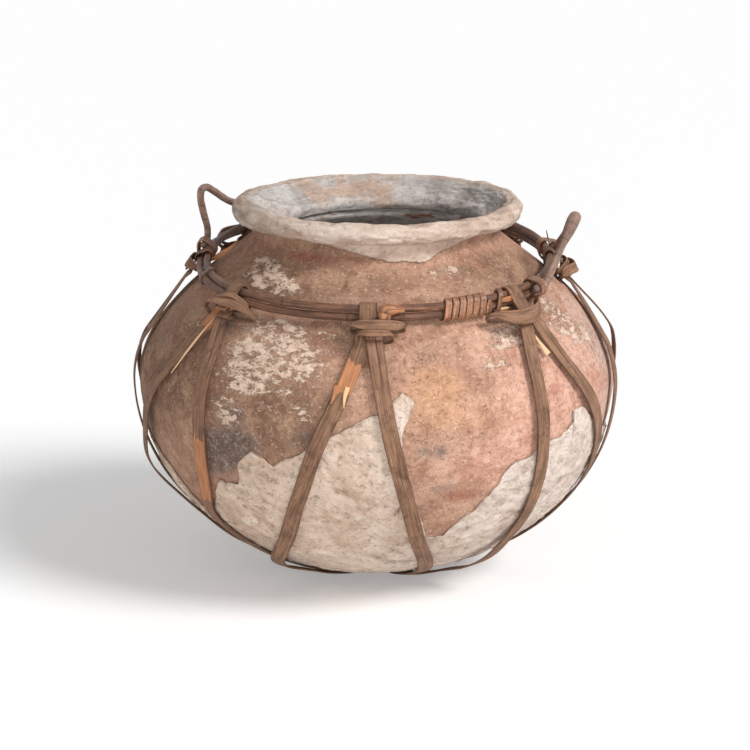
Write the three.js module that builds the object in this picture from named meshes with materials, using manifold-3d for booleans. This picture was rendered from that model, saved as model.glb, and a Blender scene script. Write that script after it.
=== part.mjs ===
// Round-bottomed terracotta jar in a carrying harness of split cane.
// Millimetres, +Z up, the ground at Z = 0 and the jar's axis on Z.
// Azimuths are in degrees, counted from +X towards +Y; the front of the jar is at -90.

import * as THREE from 'three';
import { mergeVertices } from 'three/addons/utils/BufferGeometryUtils.js';
import Module from 'manifold-3d';

// Jar
const bellyRadius = 190;
const bellyHeight = 161;
const undersideHeight = 4;
const footHeight = 6;
const neckRadius = 98;
const shoulderRise = 113;
const shoulderFullness = 1.17;
const jarWall = 9;
const jarFloor = 12;
const lipOverhang = 9.6;
const lipRise = 19;
const lipRoll = 7;
const crookShift = 1.25;
const throatInset = 18;
const throatRise = 5;

// Dried mud and lime coats
const coatGap = 0.9;
const baseCoatThickness = 2.2;
const baseCoatLowRadius = 70;
const lipCoatGap = 0.3;
const lipCoatThickness = 1.5;

// Upper edge of the mud coat as [azimuth, height], once round the jar
const baseCoatEdge = [
  [-163, 113], [-150, 72], [-142, 74], [-135, 92], [-129, 111], [-123, 122], [-119, 142], [-114, 131],
  [-105, 147], [-97, 163], [-90, 173], [-84, 186], [-82, 148], [-79, 95], [-75, 67], [-69, 71],
  [-63, 101], [-57, 130], [-47, 143], [-38, 152], [-32, 155], [-24, 136], [0, 118], [40, 142],
  [80, 112], [118, 148], [158, 104], [197, 113],
];

// The lip's coat hangs a tongue down the neck at the front
const tongueAt = -80;
const tongueHalfWidth = 38;
const tongueLength = 5;

// Hoop of two rattan rods round the shoulder, wider from front to back than from side to side
const rodRadius = 3.05;
const rodSpacing = 6.4;
const hoopSideGap = 12.18;
const hoopFrontGap = 27.18;
const hoopSquareness = 2.15;
const hoopBelowNeck = 21.8;
const hoopForwardTilt = 0.071;
const leftTwist = 66;
const leftTwistAt = 175;
const rightTwist = 8;
const rightTwistAt = -12;
const upperHoopEnds = [-88.7, 268.4];
const lowerHoopEnds = [-60.8, 299];

// Split-cane straps
const strapWidth = 13;
const strapThickness = 1.4;
const clearance = 0.4;
const lashingClearance = 0.65;
const legInset = 3.1;
const crossingGap = 2.0;
const legSpacing = 7;
const loopAside = -3.4;

// Flat cane ring under the jar, where the straps turn
const baseRingInner = 29;
const baseRingWidth = 7;
const baseRingThickness = 2.1;

// Collars that hold each pair of strap legs together below the hoop
const collarHalfWidth = 19;
const collarHalfWidthLow = 17.4;
const collarHeight = 11.5;

// Where the straps are hitched on the hoop, how far below it each collar sits, and half the collar's depth
const hitches = [
  { azimuth: -136.5, drop: 15, depth: 6.8 },
  { azimuth: -92, drop: 16, depth: 6.8 },
  { azimuth: -45.8, drop: 21, depth: 6.8 },
  { azimuth: 1, drop: 18, depth: 6.8 },
  { azimuth: 47, drop: 16, depth: 6.8 },
  { azimuth: 92, drop: 16, depth: 6.8 },
  { azimuth: 138, drop: 18, depth: 6.8 },
  { azimuth: 179, drop: 14, depth: 4.8 },
];

// Each strap hangs from one hitch, turns under the base ring and climbs to the next hitch.
// down and up are the azimuths of its two legs at legHeights; a leg's slack is the height at which it
// hangs clear of the jar and by how much.
const legHeights = [195, 150, 105, 60, 27];
const straps = [
  {
    base: -124,
    down: [-131, -132.5, -134.3, -142, -134],
    up: [-97, -103, -108.5, -117, -129],
    upSlack: { height: 30, clear: 6 },
  },
  {
    base: -64,
    down: [-89, -86, -83, -78, -70],
    up: [-51.5, -50.3, -49, -47, -49],
    upSlack: { height: 30, clear: 6 },
  },
  { base: -18, down: [-42.5, -32, -23, -21, -21], up: [-13.5, -16.5, -16, -14, -14] },
  { base: 25, down: [4, 9, 15, 20, 22], downSlack: { height: 205, clear: 5 } },
  { base: 69 },
  { base: 115 },
  { base: 158 },
  {
    base: 194,
    down: [187, 188, 188.5, 190, 191],
    up: [214, 203.5, 196.5, 198, 197],
    upSlack: { height: 98, clear: 7 },
  },
];
const legLean = [0.1, 0.3, 0.52, 0.72, 0.86];
const slackReach = 24;

// Under the jar a leg swings over to its strap's base: the share of that way still to go, against height
const legSwing = [[0.8, 21], [0.55, 15], [0.2, 9.5]];

// Loop handles of rattan: the azimuths of the feet on the hoop, the loop's points as shares of the span
// between the feet and heights above them, and its lean away from the jar
const leftHandle = {
  feet: [167, 131],
  loop: [[0.02, 10], [-0.07, 26], [-0.1, 41], [-0.03, 48.5], [0.08, 45], [0.4, 27], [0.88, 10]],
  lean: 0,
  radius: 2.7,
  lashingTurns: [4, 3],
};
const rightHandle = {
  feet: [-32, 7],
  loop: [[0.09, 10], [0.27, 28], [0.4, 44], [0.48, 48], [0.56, 44], [0.72, 28], [0.92, 10]],
  lean: 25,
  radius: 3.6,
  lashingTurns: [3, 3],
};
const footLength = 17;
const footLashingAt = 0.64;
const footPlay = 1;

// Lashings: turns of thin cane round the hoop; start is the share of a turn at which the cane begins,
// counted from the side of the jar
const hoopLashing = { azimuth: -64.4, turns: 6.5, pitch: 5.7, width: 4.8, thickness: 1.8, start: 0 };
const hoopTie = { azimuth: -53.4, turns: 1.2, pitch: 12, width: 3.4, thickness: 2.2, start: 0.9 };
const footLashing = { pitch: 3.1, width: 2.5, thickness: 1.5, start: 0 };

// Facets
const jarFacets = 40;
const lipSteps = 6;
const coatFacets = 60;
const coatRows = 10;
const windingSteps = 14;
const rodSteps = 50;
const handleSteps = 32;
const baseRingFacets = 24;
const collarFacets = 16;
const legStep = 17;

const degrees = Math.PI / 180;
const roundBottomDepth = bellyHeight - undersideHeight;
const neckHeight = bellyHeight + shoulderRise;
const lipCentreRadius = neckRadius + lipOverhang;
const lipCentreHeight = neckHeight + lipRise;
const throatRadius = neckRadius - throatInset;
const throatHeight = neckHeight + throatRise;
const hoopHeight = neckHeight - hoopBelowNeck;

const wasm = await Module();
wasm.setup();

const clay = new THREE.MeshStandardMaterial({ color: 0xb98468, roughness: 0.9, metalness: 0 });
const mud = new THREE.MeshStandardMaterial({ color: 0xb9a48e, roughness: 0.95, metalness: 0 });
const limewash = new THREE.MeshStandardMaterial({ color: 0xb3a495, roughness: 0.95, metalness: 0 });
const darkCane = new THREE.MeshStandardMaterial({ color: 0x4d372a, roughness: 0.6, metalness: 0 });
const redCane = new THREE.MeshStandardMaterial({ color: 0x7a4a33, roughness: 0.55, metalness: 0 });
const strapCane = new THREE.MeshStandardMaterial({ color: 0x6d5243, roughness: 0.7, metalness: 0 });
const collarCane = new THREE.MeshStandardMaterial({ color: 0x7b6353, roughness: 0.7, metalness: 0 });
const lashingCane = new THREE.MeshStandardMaterial({ color: 0x6b3f27, roughness: 0.5, metalness: 0 });
const handleCane = new THREE.MeshStandardMaterial({ color: 0x6f564a, roughness: 0.6, metalness: 0 });

function place(azimuth, radius, height) {
  const a = azimuth * degrees;
  return new THREE.Vector3(radius * Math.cos(a), radius * Math.sin(a), height);
}

// A flat vector [out, up] in the upright plane at an azimuth
function inPlane(azimuth, out, up) {
  const a = azimuth * degrees;
  return new THREE.Vector3(out * Math.cos(a), out * Math.sin(a), up);
}

// Rings of points, each the same length, joined into one closed surface.
// Closed rings of rings make a hoop-like solid; otherwise the first and last rings are capped.
function skin(rings, closed) {
  const count = rings[0].length;
  const positions = rings.flat().flatMap((p) => [p.x, p.y, p.z]);
  const indices = [];
  const last = closed ? rings.length : rings.length - 1;
  for (let i = 0; i < last; i += 1) {
    const near = i * count;
    const far = ((i + 1) % rings.length) * count;
    for (let j = 0; j < count; j += 1) {
      const k = (j + 1) % count;
      indices.push(near + j, near + k, far + k, near + j, far + k, far + j);
    }
  }
  if (!closed) {
    const end = (rings.length - 1) * count;
    for (let j = 1; j < count - 1; j += 1) {
      indices.push(0, j + 1, j);
      indices.push(end, end + j, end + j + 1);
    }
  }
  const geometry = new THREE.BufferGeometry();
  geometry.setAttribute('position', new THREE.Float32BufferAttribute(positions, 3));
  geometry.setIndex(indices);
  return geometry;
}

// The jar's outer wall from the edge of its foot to its neck, as radius against height
function roundBottomPoint(angle) {
  const radius = bellyRadius * Math.cos(angle);
  return new THREE.Vector2(radius, bellyHeight - roundBottomDepth * Math.sin(angle));
}

function shoulderPoint(rise, belly, neck, top) {
  const radius = neck + (belly - neck) * (1 - rise * rise) ** shoulderFullness;
  return new THREE.Vector2(radius, bellyHeight + (top - bellyHeight) * rise);
}

const footAngle = Math.asin((bellyHeight - footHeight) / roundBottomDepth);

function wallPoints(lowSteps, highSteps) {
  const points = [];
  for (let i = 0; i < lowSteps; i += 1) {
    points.push(roundBottomPoint(footAngle * (1 - i / lowSteps)));
  }
  for (let i = 0; i <= highSteps; i += 1) {
    const rise = Math.sin((i / highSteps) * 90 * degrees);
    points.push(shoulderPoint(rise, bellyRadius, neckRadius, neckHeight));
  }
  return points;
}

const wall = new THREE.SplineCurve(wallPoints(16, 12));

// Where the wall reaches a height: its radius, and its outward normal
function wallAt(height) {
  let low = 0;
  let high = 1;
  for (let i = 0; i < 30; i += 1) {
    const middle = (low + high) / 2;
    if (wall.getPointAt(middle).y < height) {
      low = middle;
    } else {
      high = middle;
    }
  }
  const tangent = wall.getTangentAt(low);
  return { radius: wall.getPointAt(low).x, out: tangent.y, up: -tangent.x };
}

// A point off the wall along its normal, as [radius, height]
function offWall(height, standoff) {
  const at = wallAt(height);
  return [at.radius + at.out * standoff, height + at.up * standoff];
}

// The rolled lip, from under its outer edge over the top to the throat, grown by an amount.
// Its first point, in the crook of the neck, moves out as the lip grows and keeps clear of the neck.
function lipPoints(growth) {
  const roll = lipRoll + growth;
  const points = [];
  for (let i = 0; i <= lipSteps; i += 1) {
    const a = (-120 + (270 * i) / lipSteps) * degrees;
    const radius = lipCentreRadius + roll * Math.cos(a);
    points.push(new THREE.Vector2(radius, lipCentreHeight + roll * Math.sin(a)));
  }
  points[0].x += growth * crookShift;
  return points;
}

function jarBody() {
  const outside = wallPoints(11, 8);
  const lip = lipPoints(0);
  const innerBelly = bellyRadius - jarWall;
  const innerDepth = bellyHeight - footHeight - jarFloor;
  const innerTop = neckHeight - jarWall;
  const inside = [new THREE.Vector2(throatRadius, throatHeight)];
  for (let i = 5; i > 0; i -= 1) {
    inside.push(shoulderPoint(Math.sin((i / 5) * 90 * degrees), innerBelly, neckRadius - jarWall, innerTop));
  }
  for (let i = 0; i < 8; i += 1) {
    const a = (i / 8) * 90 * degrees;
    inside.push(new THREE.Vector2(innerBelly * Math.cos(a), bellyHeight - innerDepth * Math.sin(a)));
  }
  const foot = new THREE.Vector2(0, footHeight);
  const floor = new THREE.Vector2(0, bellyHeight - innerDepth);
  const profile = [foot, ...outside, ...lip, ...inside, floor];
  const geometry = new THREE.LatheGeometry(profile, jarFacets);
  geometry.rotateX(90 * degrees);
  return geometry;
}

function solidOf(geometry) {
  const merged = mergeVertices(geometry);
  return new wasm.Manifold(new wasm.Mesh({
    numProp: 3,
    vertProperties: merged.attributes.position.array,
    triVerts: Uint32Array.from(merged.index.array),
  }));
}

function geometryOf(solid) {
  const mesh = solid.getMesh();
  const geometry = new THREE.BufferGeometry();
  geometry.setAttribute('position', new THREE.BufferAttribute(mesh.vertProperties, 3));
  geometry.setIndex(new THREE.BufferAttribute(mesh.triVerts, 1));
  return geometry;
}

// A full coat with even rows, cut away above its broken edge
function baseCoat() {
  const lowest = bellyHeight - roundBottomDepth * Math.sin(Math.acos(baseCoatLowRadius / bellyRadius));
  const highest = Math.max(...baseCoatEdge.map((point) => point[1])) + 1;
  const side = (azimuth, standoff) => Array.from({ length: coatRows }, (_, j) => {
    const height = lowest + (highest - lowest) * (j / (coatRows - 1)) ** 1.25;
    return place(azimuth, ...offWall(height, standoff));
  });
  const coat = Array.from({ length: coatFacets }, (_, i) => {
    const azimuth = -90 + (360 * i) / coatFacets;
    return [...side(azimuth, coatGap), ...side(azimuth, coatGap + baseCoatThickness).reverse()];
  });
  const inside = bellyRadius / 2;
  const outside = bellyRadius * 1.1;
  const top = highest * 1.1;
  const above = baseCoatEdge.slice(0, -1).map(([azimuth, height]) => {
    const corners = [[inside, height], [inside, top], [outside, top], [outside, height]];
    return corners.map(([radius, level]) => place(azimuth, radius, level));
  });
  return geometryOf(solidOf(skin(coat, true)).subtract(solidOf(skin(above, true))));
}

function lipCoat() {
  const rings = [];
  for (let i = 0; i < jarFacets; i += 1) {
    const azimuth = -90 + (360 * i) / jarFacets;
    const away = Math.abs(THREE.MathUtils.euclideanModulo(azimuth - tongueAt + 180, 360) - 180);
    const tongue = away < tongueHalfWidth ? Math.cos((away / tongueHalfWidth) * 90 * degrees) : 0;
    const low = neckHeight - 1 - tongueLength * tongue;
    const sides = [lipCoatGap, lipCoatGap + lipCoatThickness].map((growth) => {
      const neck = [offWall(low, growth), offWall(neckHeight, growth)];
      const roll = lipPoints(growth).map((p) => [p.x, p.y]);
      const throat = [throatRadius - growth * 0.6, throatHeight + growth];
      return [...neck, ...roll, throat];
    });
    const loop = [...sides[0], ...sides[1].reverse()];
    rings.push(loop.map(([radius, height]) => place(azimuth, radius, height)));
  }
  return skin(rings, true);
}

const shoulderAtHoop = wallAt(hoopHeight).radius;
const hoopHalfWidth = shoulderAtHoop + hoopSideGap;
const hoopHalfDepth = shoulderAtHoop + hoopFrontGap;

// Centre of the pair of rods at an azimuth, as radius and height
function hoopCentre(azimuth) {
  const a = azimuth * degrees;
  const wide = (Math.abs(Math.cos(a)) / hoopHalfWidth) ** hoopSquareness;
  const deep = (Math.abs(Math.sin(a)) / hoopHalfDepth) ** hoopSquareness;
  const radius = (wide + deep) ** (-1 / hoopSquareness);
  return { radius, height: hoopHeight + hoopForwardTilt * radius * Math.sin(a) };
}

// The pair of rods leans over at the sides: the direction from the lower rod to the upper one
function pairLean(azimuth) {
  const left = Math.max(0, Math.cos((azimuth - leftTwistAt) * degrees)) ** 2;
  const right = Math.max(0, Math.cos((azimuth - rightTwistAt) * degrees)) ** 2;
  const lean = (leftTwist * left + rightTwist * right) * degrees;
  return { rise: [-Math.sin(lean), Math.cos(lean)], face: [Math.cos(lean), Math.sin(lean)] };
}

// A point beside the pair: across towards its outer face and along from the lower rod to the upper one
function besidePair(azimuth, across, along) {
  const centre = hoopCentre(azimuth);
  const { rise, face } = pairLean(azimuth);
  const radius = centre.radius + face[0] * across + rise[0] * along;
  return [radius, centre.height + face[1] * across + rise[1] * along];
}

class HoopRod extends THREE.Curve {
  constructor(ends, side) {
    super();
    this.ends = ends;
    this.side = side;
  }

  getPoint(t, target = new THREE.Vector3()) {
    const azimuth = this.ends[0] + (this.ends[1] - this.ends[0]) * t;
    return target.copy(place(azimuth, ...besidePair(azimuth, 0, (this.side * rodSpacing) / 2)));
  }
}

function rod(curve, radius, steps) {
  const section = new THREE.Shape();
  section.absarc(0, 0, radius, 0, 360 * degrees, false);
  const options = { steps, curveSegments: 4, bevelEnabled: false, extrudePath: curve };
  return new THREE.ExtrudeGeometry(section, options);
}

function baseRing() {
  const low = strapThickness + clearance;
  const high = low + baseRingThickness;
  const inner = baseRingInner;
  const outer = inner + baseRingWidth;
  const round = baseRingThickness / 3;
  const rings = [];
  const section = [
    [inner, low + round], [inner, high - round], [inner + round, high], [outer - round, high],
    [outer, high - round], [outer, low + round], [outer - round, low], [inner + round, low],
  ];
  for (let i = 0; i < baseRingFacets; i += 1) {
    rings.push(section.map(([radius, height]) => place((360 * i) / baseRingFacets, radius, height)));
  }
  return skin(rings, true);
}

// The tightest outline round flat points, counterclockwise from the one with the least x
function beltRound(points) {
  const sorted = [...points].sort((a, b) => a[0] - b[0] || a[1] - b[1]);
  const turn = (a, b, c) => (b[0] - a[0]) * (c[1] - a[1]) - (b[1] - a[1]) * (c[0] - a[0]);
  const chain = (list) => {
    const kept = [];
    list.forEach((point) => {
      while (kept.length > 1 && turn(kept.at(-2), kept.at(-1), point) <= 0) kept.pop();
      kept.push(point);
    });
    return kept.slice(0, -1);
  };
  return [...chain(sorted), ...chain(sorted.reverse())];
}

// Corners of a polygon that goes just outside a circle
function cornersRound(x, y, radius) {
  const sides = 12;
  const reach = radius / Math.cos((180 * degrees) / sides);
  return Array.from({ length: sides }, (_, i) => {
    const a = ((i * 360) / sides) * degrees;
    return [x + reach * Math.cos(a), y + reach * Math.sin(a)];
  });
}

// Directions at a hitch: down the shoulder and out from it, as [out, up]
function hitchDirections(azimuth) {
  const at = wallAt(hoopCentre(azimuth).height);
  return { down: [at.up, -at.out], out: [at.out, at.up] };
}

// A point near a hitch from its distances down the shoulder and out from it
function nearHitch(hitch, down, out) {
  const centre = hoopCentre(hitch.azimuth);
  const directions = hitchDirections(hitch.azimuth);
  return [
    centre.radius + directions.down[0] * down + directions.out[0] * out,
    centre.height + directions.down[1] * down + directions.out[1] * out,
  ];
}

function collar(hitch) {
  const directions = hitchDirections(hitch.azimuth);
  const aside = inPlane(hitch.azimuth + 90, 1, 0);
  const out = inPlane(hitch.azimuth, ...directions.out);
  const rings = [];
  for (let i = 0; i < collarFacets; i += 1) {
    const a = (i / collarFacets) * 360 * degrees;
    const c = Math.sign(Math.cos(a)) * Math.abs(Math.cos(a)) ** 0.5;
    const s = Math.sign(Math.sin(a)) * Math.abs(Math.sin(a)) ** 0.5;
    const corner = ([end, side]) => {
      const half = end < 0 ? collarHalfWidth : collarHalfWidthLow;
      const down = hitch.drop + (end * collarHeight) / 2;
      const point = place(hitch.azimuth, ...nearHitch(hitch, down, 0));
      const grown = (side * strapThickness) / 2;
      point.addScaledVector(aside, (half + grown) * c);
      return point.addScaledVector(out, (hitch.depth + grown) * s);
    };
    rings.push([[-1, -1], [1, -1], [1, 1], [-1, 1]].map(corner));
  }
  return skin(rings, true);
}

// A leg's distance off the wall: over the mud coat low down, close to the clay near the hoop
function legStandoff(height) {
  const overClay = clearance + strapThickness / 2;
  const overCoat = coatGap + baseCoatThickness + overClay;
  return THREE.MathUtils.lerp(overCoat, overClay, THREE.MathUtils.smoothstep(height, 188, 212));
}

// A leg as [azimuth, radius, height], from its collar down the wall like a string drawn tight
function legDownWall(top, azimuths, slack, under) {
  const [topAzimuth, topRadius, topHeight] = top;
  const points = [[topRadius, topHeight]];
  const lowest = legHeights.at(-1);
  const count = Math.ceil(((topHeight - lowest) * 1.25) / legStep);
  for (let i = 1; i <= count; i += 1) {
    const height = topHeight + ((lowest - topHeight) * i) / count;
    const crossing = under * (1 - THREE.MathUtils.smoothstep(height, 34, 60));
    points.push(offWall(height, legStandoff(height) + crossing));
  }
  const axis = [0, topHeight];
  const foot = [0, lowest - 1];
  const belt = beltRound([...points, axis, foot]).filter((point) => points.includes(point));
  belt.sort((a, b) => b[1] - a[1]);
  const heights = [...legHeights].reverse();
  const values = [...azimuths].reverse();
  const azimuthAt = new THREE.CubicInterpolant([...heights, topHeight], [...values, topAzimuth], 1);
  return belt.map(([radius, height]) => {
    const bulge = slack ? slack.clear * Math.exp(-(((height - slack.height) / slackReach) ** 2)) : 0;
    return [azimuthAt.evaluate(height)[0], radius + bulge, height];
  });
}

// The strap's way round the pair of rods and back, from the jar's side of the collar to its outer side
function wayRoundHoop(hitch, from, to) {
  const reach = rodRadius + clearance + strapThickness / 2;
  const arc = hoopCentre(hitch.azimuth).radius * degrees;
  const rods = [[-1, -1], [-1, 1], [1, -1], [1, 1]].flatMap(([end, side]) => {
    const edge = hitch.azimuth + (loopAside + (end * strapWidth) / 2) / arc;
    const [radius, height] = besidePair(edge, 0, (side * rodSpacing) / 2);
    return cornersRound(radius, height, reach);
  });
  const belt = beltRound([...rods, from, to]).reverse();
  const start = belt.indexOf(from);
  const turned = [...belt.slice(start), ...belt.slice(0, start)];
  return turned.slice(0, turned.indexOf(to) + 1);
}

// Stations along one strap as [azimuth, radius, height], from the upper end of its first leg
function strapStations(index) {
  const strap = straps[index];
  const first = hitches[index];
  const second = hitches[(index + 1) % hitches.length];
  const secondAzimuth = second.azimuth + (index === straps.length - 1 ? 360 : 0);
  const lean = (from) => legLean.map((share) => from + (strap.base - from) * share);
  const down = strap.down ?? lean(first.azimuth);
  const up = strap.up ?? lean(secondAzimuth);
  const aside = (azimuth, offset, [radius, height]) => [azimuth + offset / radius / degrees, radius, height];
  const inCollar = (hitch, azimuth, offset, along, side) => {
    return aside(azimuth, offset, nearHitch(hitch, hitch.drop + along, side * (hitch.depth - legInset)));
  };
  const stations = [];
  stations.push(inCollar(first, first.azimuth, legSpacing, 0, -1));
  const firstTop = inCollar(first, first.azimuth, legSpacing, collarHeight / 2 + 1, -1);
  stations.push(...legDownWall(firstTop, down, strap.downSlack, 0));

  // Over the base ring, round its inner edge and out again under it
  const low = strapThickness / 2;
  const high = strapThickness * 1.5 + clearance * 2 + baseRingThickness;
  const middle = (low + high) / 2;
  const turn = (high - low) / 2;
  const ringCurve = baseRingInner - Math.sqrt(baseRingInner ** 2 - (strapWidth / 2) ** 2);
  const inner = baseRingInner - ringCurve - clearance - low + turn;
  const outer = baseRingInner + baseRingWidth + strapThickness;
  const swing = (azimuth, standoff) => legSwing.map(([share, height]) => {
    return [strap.base + (azimuth - strap.base) * share, ...offWall(height, standoff)];
  });
  stations.push(...swing(down.at(-1), legStandoff(0)));
  stations.push([strap.base, outer, high]);
  for (let i = 0; i <= 4; i += 1) {
    const a = (90 + 45 * i) * degrees;
    stations.push([strap.base, inner + turn * Math.cos(a), middle + turn * Math.sin(a)]);
  }
  stations.push([strap.base, outer, low]);
  stations.push(...swing(up.at(-1), legStandoff(0) + crossingGap).reverse());
  const secondTop = inCollar(second, secondAzimuth, -legSpacing, collarHeight / 2 + 1, -1);
  stations.push(...legDownWall(secondTop, up, strap.upSlack, crossingGap).reverse());

  // Up through the collar, over the hoop and down its face into the collar again
  stations.push(inCollar(second, secondAzimuth, -legSpacing, 0, -1));
  const legDepth = second.depth - legInset;
  const from = nearHitch(second, second.drop - collarHeight / 2 - 1, -legDepth);
  const to = nearHitch(second, second.drop - collarHeight / 2, legDepth);
  const round = wayRoundHoop(second, from, to);
  stations.push(...round.map((point) => aside(secondAzimuth, loopAside, point)));
  stations.push(inCollar(second, secondAzimuth, loopAside, collarHeight / 3, 1));
  return stations;
}

// A flat strip carried along its stations: its flat side faces the wall, its width runs across the path
function strip(stations, width, thickness) {
  const arc = 150;
  const route = stations.map(([azimuth, radius, height]) => {
    return new THREE.Vector3(radius, height, azimuth * degrees * arc);
  });
  const curve = new THREE.CatmullRomCurve3(route, false, 'centripetal');
  const rings = route.map((flat, i) => {
    const ahead = curve.getTangent(i / (route.length - 1));
    const azimuth = flat.z / arc / degrees;
    const centre = place(azimuth, flat.x, flat.y);
    const along = inPlane(azimuth, ahead.x, ahead.y);
    along.addScaledVector(inPlane(azimuth + 90, 1, 0), (ahead.z / arc) * flat.x).normalize();
    const outward = inPlane(azimuth, ahead.y, -ahead.x).normalize();
    const across = new THREE.Vector3().crossVectors(outward, along).normalize();
    const face = new THREE.Vector3().crossVectors(along, across).normalize();
    return [[-1, -1], [1, -1], [1, 1], [-1, 1]].map(([a, b]) => centre.clone()
      .addScaledVector(across, (a * width) / 2)
      .addScaledVector(face, (b * thickness) / 2));
  });
  return skin(rings, false);
}

// The place on a closed belt at a share of its length
function alongBelt(belt, share) {
  const lengths = belt.map((point, i) => {
    const next = belt[(i + 1) % belt.length];
    return Math.hypot(next[0] - point[0], next[1] - point[1]);
  });
  let left = (share - Math.floor(share)) * lengths.reduce((sum, length) => sum + length, 0);
  let i = 0;
  while (left > lengths[i] && i < belt.length - 1) {
    left -= lengths[i];
    i += 1;
  }
  const next = belt[(i + 1) % belt.length];
  return [0, 1].map((k) => belt[i][k] + ((next[k] - belt[i][k]) * left) / lengths[i]);
}

// A flattened cane wound tight round the rods at an azimuth, as the rings of one unbroken tube.
// The rods are [across, along, radius] in the plane beside the pair.
function winding(rods, { azimuth, turns, pitch, width, thickness, start }) {
  const reach = lashingClearance + thickness / 2;
  const belt = beltRound(rods.flatMap(([x, y, radius]) => cornersRound(x, y, radius + reach)));
  const steps = Math.round(turns * windingSteps);
  const section = [[-0.5, 0], [-0.3, 0.5], [0.3, 0.5], [0.5, 0], [0.3, -0.5], [-0.3, -0.5]];
  const radius = hoopCentre(azimuth).radius;
  const middle = belt.reduce((sum, point) => [sum[0] + point[0], sum[1] + point[1]], [0, 0]);
  const core = middle.map((value) => value / belt.length);
  const azimuthAt = (turn) => azimuth + ((turn - turns / 2) * pitch) / radius / degrees;
  const at = (turn) => {
    const here = azimuthAt(turn);
    return place(here, ...besidePair(here, ...alongBelt(belt, start + turn)));
  };
  const frame = (turn) => {
    const centre = at(turn);
    const inside = place(azimuthAt(turn), ...besidePair(azimuthAt(turn), ...core));
    const forward = at(turn + 0.02).sub(at(turn - 0.02)).normalize();
    const side = new THREE.Vector3().crossVectors(forward, centre.clone().sub(inside)).normalize();
    const out = new THREE.Vector3().crossVectors(side, forward).normalize();
    return { centre, forward, side, out };
  };
  const ring = ({ centre, side, out }) => section.map(([s, o]) => centre.clone()
    .addScaledVector(side, s * width)
    .addScaledVector(out, o * thickness));
  const first = frame(0);
  const last = frame(turns);
  const rings = Array.from({ length: steps + 1 }, (_, i) => ring(frame((i / steps) * turns)));
  first.centre.addScaledVector(first.forward, -thickness);
  last.centre.addScaledVector(last.forward, thickness);
  return [ring(first), ...rings, ring(last)];
}

// Least distance between the points of rings that lie more than half a turn apart
function leastSelfGap(rings) {
  let least = Infinity;
  const apart = Math.ceil(windingSteps / 2);
  for (let i = 0; i < rings.length; i += 1) {
    for (let j = i + apart; j < rings.length; j += 1) {
      for (const p of rings[i]) {
        for (const q of rings[j]) {
          least = Math.min(least, p.distanceTo(q));
        }
      }
    }
  }
  return least;
}

function lashing(name, rods, size) {
  const rings = winding(rods, size);
  console.log(`${name}: least gap between turns ${leastSelfGap(rings).toFixed(2)} mm`);
  return skin(rings, false);
}

// Where a foot of a handle lies against the pair of rods
function footDistance(radius) {
  return Math.sqrt((rodRadius + radius + clearance) ** 2 - (rodSpacing / 2) ** 2) + footPlay / 2;
}

function handleFrame({ feet, radius, lean }) {
  const seat = footDistance(radius);
  const front = place(feet[0], ...besidePair(feet[0], seat, 0));
  const back = place(feet[1], ...besidePair(feet[1], seat, 0));
  const along = back.clone().sub(front);
  const span = along.length();
  along.normalize();
  const rise = new THREE.Vector3(0, 0, 1).addScaledVector(along, -along.z).normalize();
  const out = new THREE.Vector3().crossVectors(along, rise).normalize();
  if (out.dot(front) < 0) out.negate();
  const up = rise.multiplyScalar(Math.cos(lean * degrees)).addScaledVector(out, Math.sin(lean * degrees));
  return { front, back, along, span, up, seat };
}

// The azimuth at a share of the length of a handle's foot, which runs along the hoop away from the loop
function alongFoot({ feet }, index, share) {
  const away = Math.sign(feet[index] - feet[1 - index]);
  return feet[index] + (away * share * footLength) / hoopCentre(feet[index]).radius / degrees;
}

function handle(size) {
  const { front, back, along, span, up, seat } = handleFrame(size);
  const footPoint = (index, share) => {
    const here = alongFoot(size, index, share);
    return place(here, ...besidePair(here, seat + footPlay * share, 0));
  };
  const loopPoint = ([share, height]) => front.clone()
    .addScaledVector(along, span * share)
    .addScaledVector(up, height);
  const points = [
    footPoint(0, 1), footPoint(0, 0.5), front,
    ...size.loop.map(loopPoint),
    back, footPoint(1, 0.5), footPoint(1, 1),
  ];
  return rod(new THREE.CatmullRomCurve3(points, false, 'centripetal'), size.radius, handleSteps);
}

const group = new THREE.Group();

function add(name, geometry, material) {
  const mesh = new THREE.Mesh(geometry, material);
  mesh.name = name;
  group.add(mesh);
}

add('jar_body', jarBody(), clay);
add('base_mud_coat', baseCoat(), mud);
add('lip_mud_coat', lipCoat(), limewash);
add('upper_hoop', rod(new HoopRod(upperHoopEnds, 1), rodRadius, rodSteps), redCane);
add('lower_hoop', rod(new HoopRod(lowerHoopEnds, -1), rodRadius, rodSteps), darkCane);
add('base_ring', baseRing(), darkCane);
hitches.forEach((hitch, i) => {
  add(`strap_${i + 1}`, strip(strapStations(i), strapWidth, strapThickness), strapCane);
  add(`collar_${i + 1}`, collar(hitch), collarCane);
});

const hoopRods = [[0, -rodSpacing / 2, rodRadius], [0, rodSpacing / 2, rodRadius]];
add('hoop_lashing', lashing('hoop_lashing', hoopRods, hoopLashing), lashingCane);
add('hoop_tie', lashing('hoop_tie', hoopRods, hoopTie), redCane);
[['left', leftHandle], ['right', rightHandle]].forEach(([side, size]) => {
  add(`${side}_handle`, handle(size), handleCane);
  const foot = [footDistance(size.radius) + footPlay / 2, 0, size.radius + footPlay / 2];
  ['front', 'back'].forEach((end, i) => {
    const name = `${side}_${end}_lashing`;
    const azimuth = alongFoot(size, i, footLashingAt);
    const turns = size.lashingTurns[i];
    add(name, lashing(name, [...hoopRods, foot], { azimuth, turns, ...footLashing }), lashingCane);
  });
});

export default group;
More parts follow.
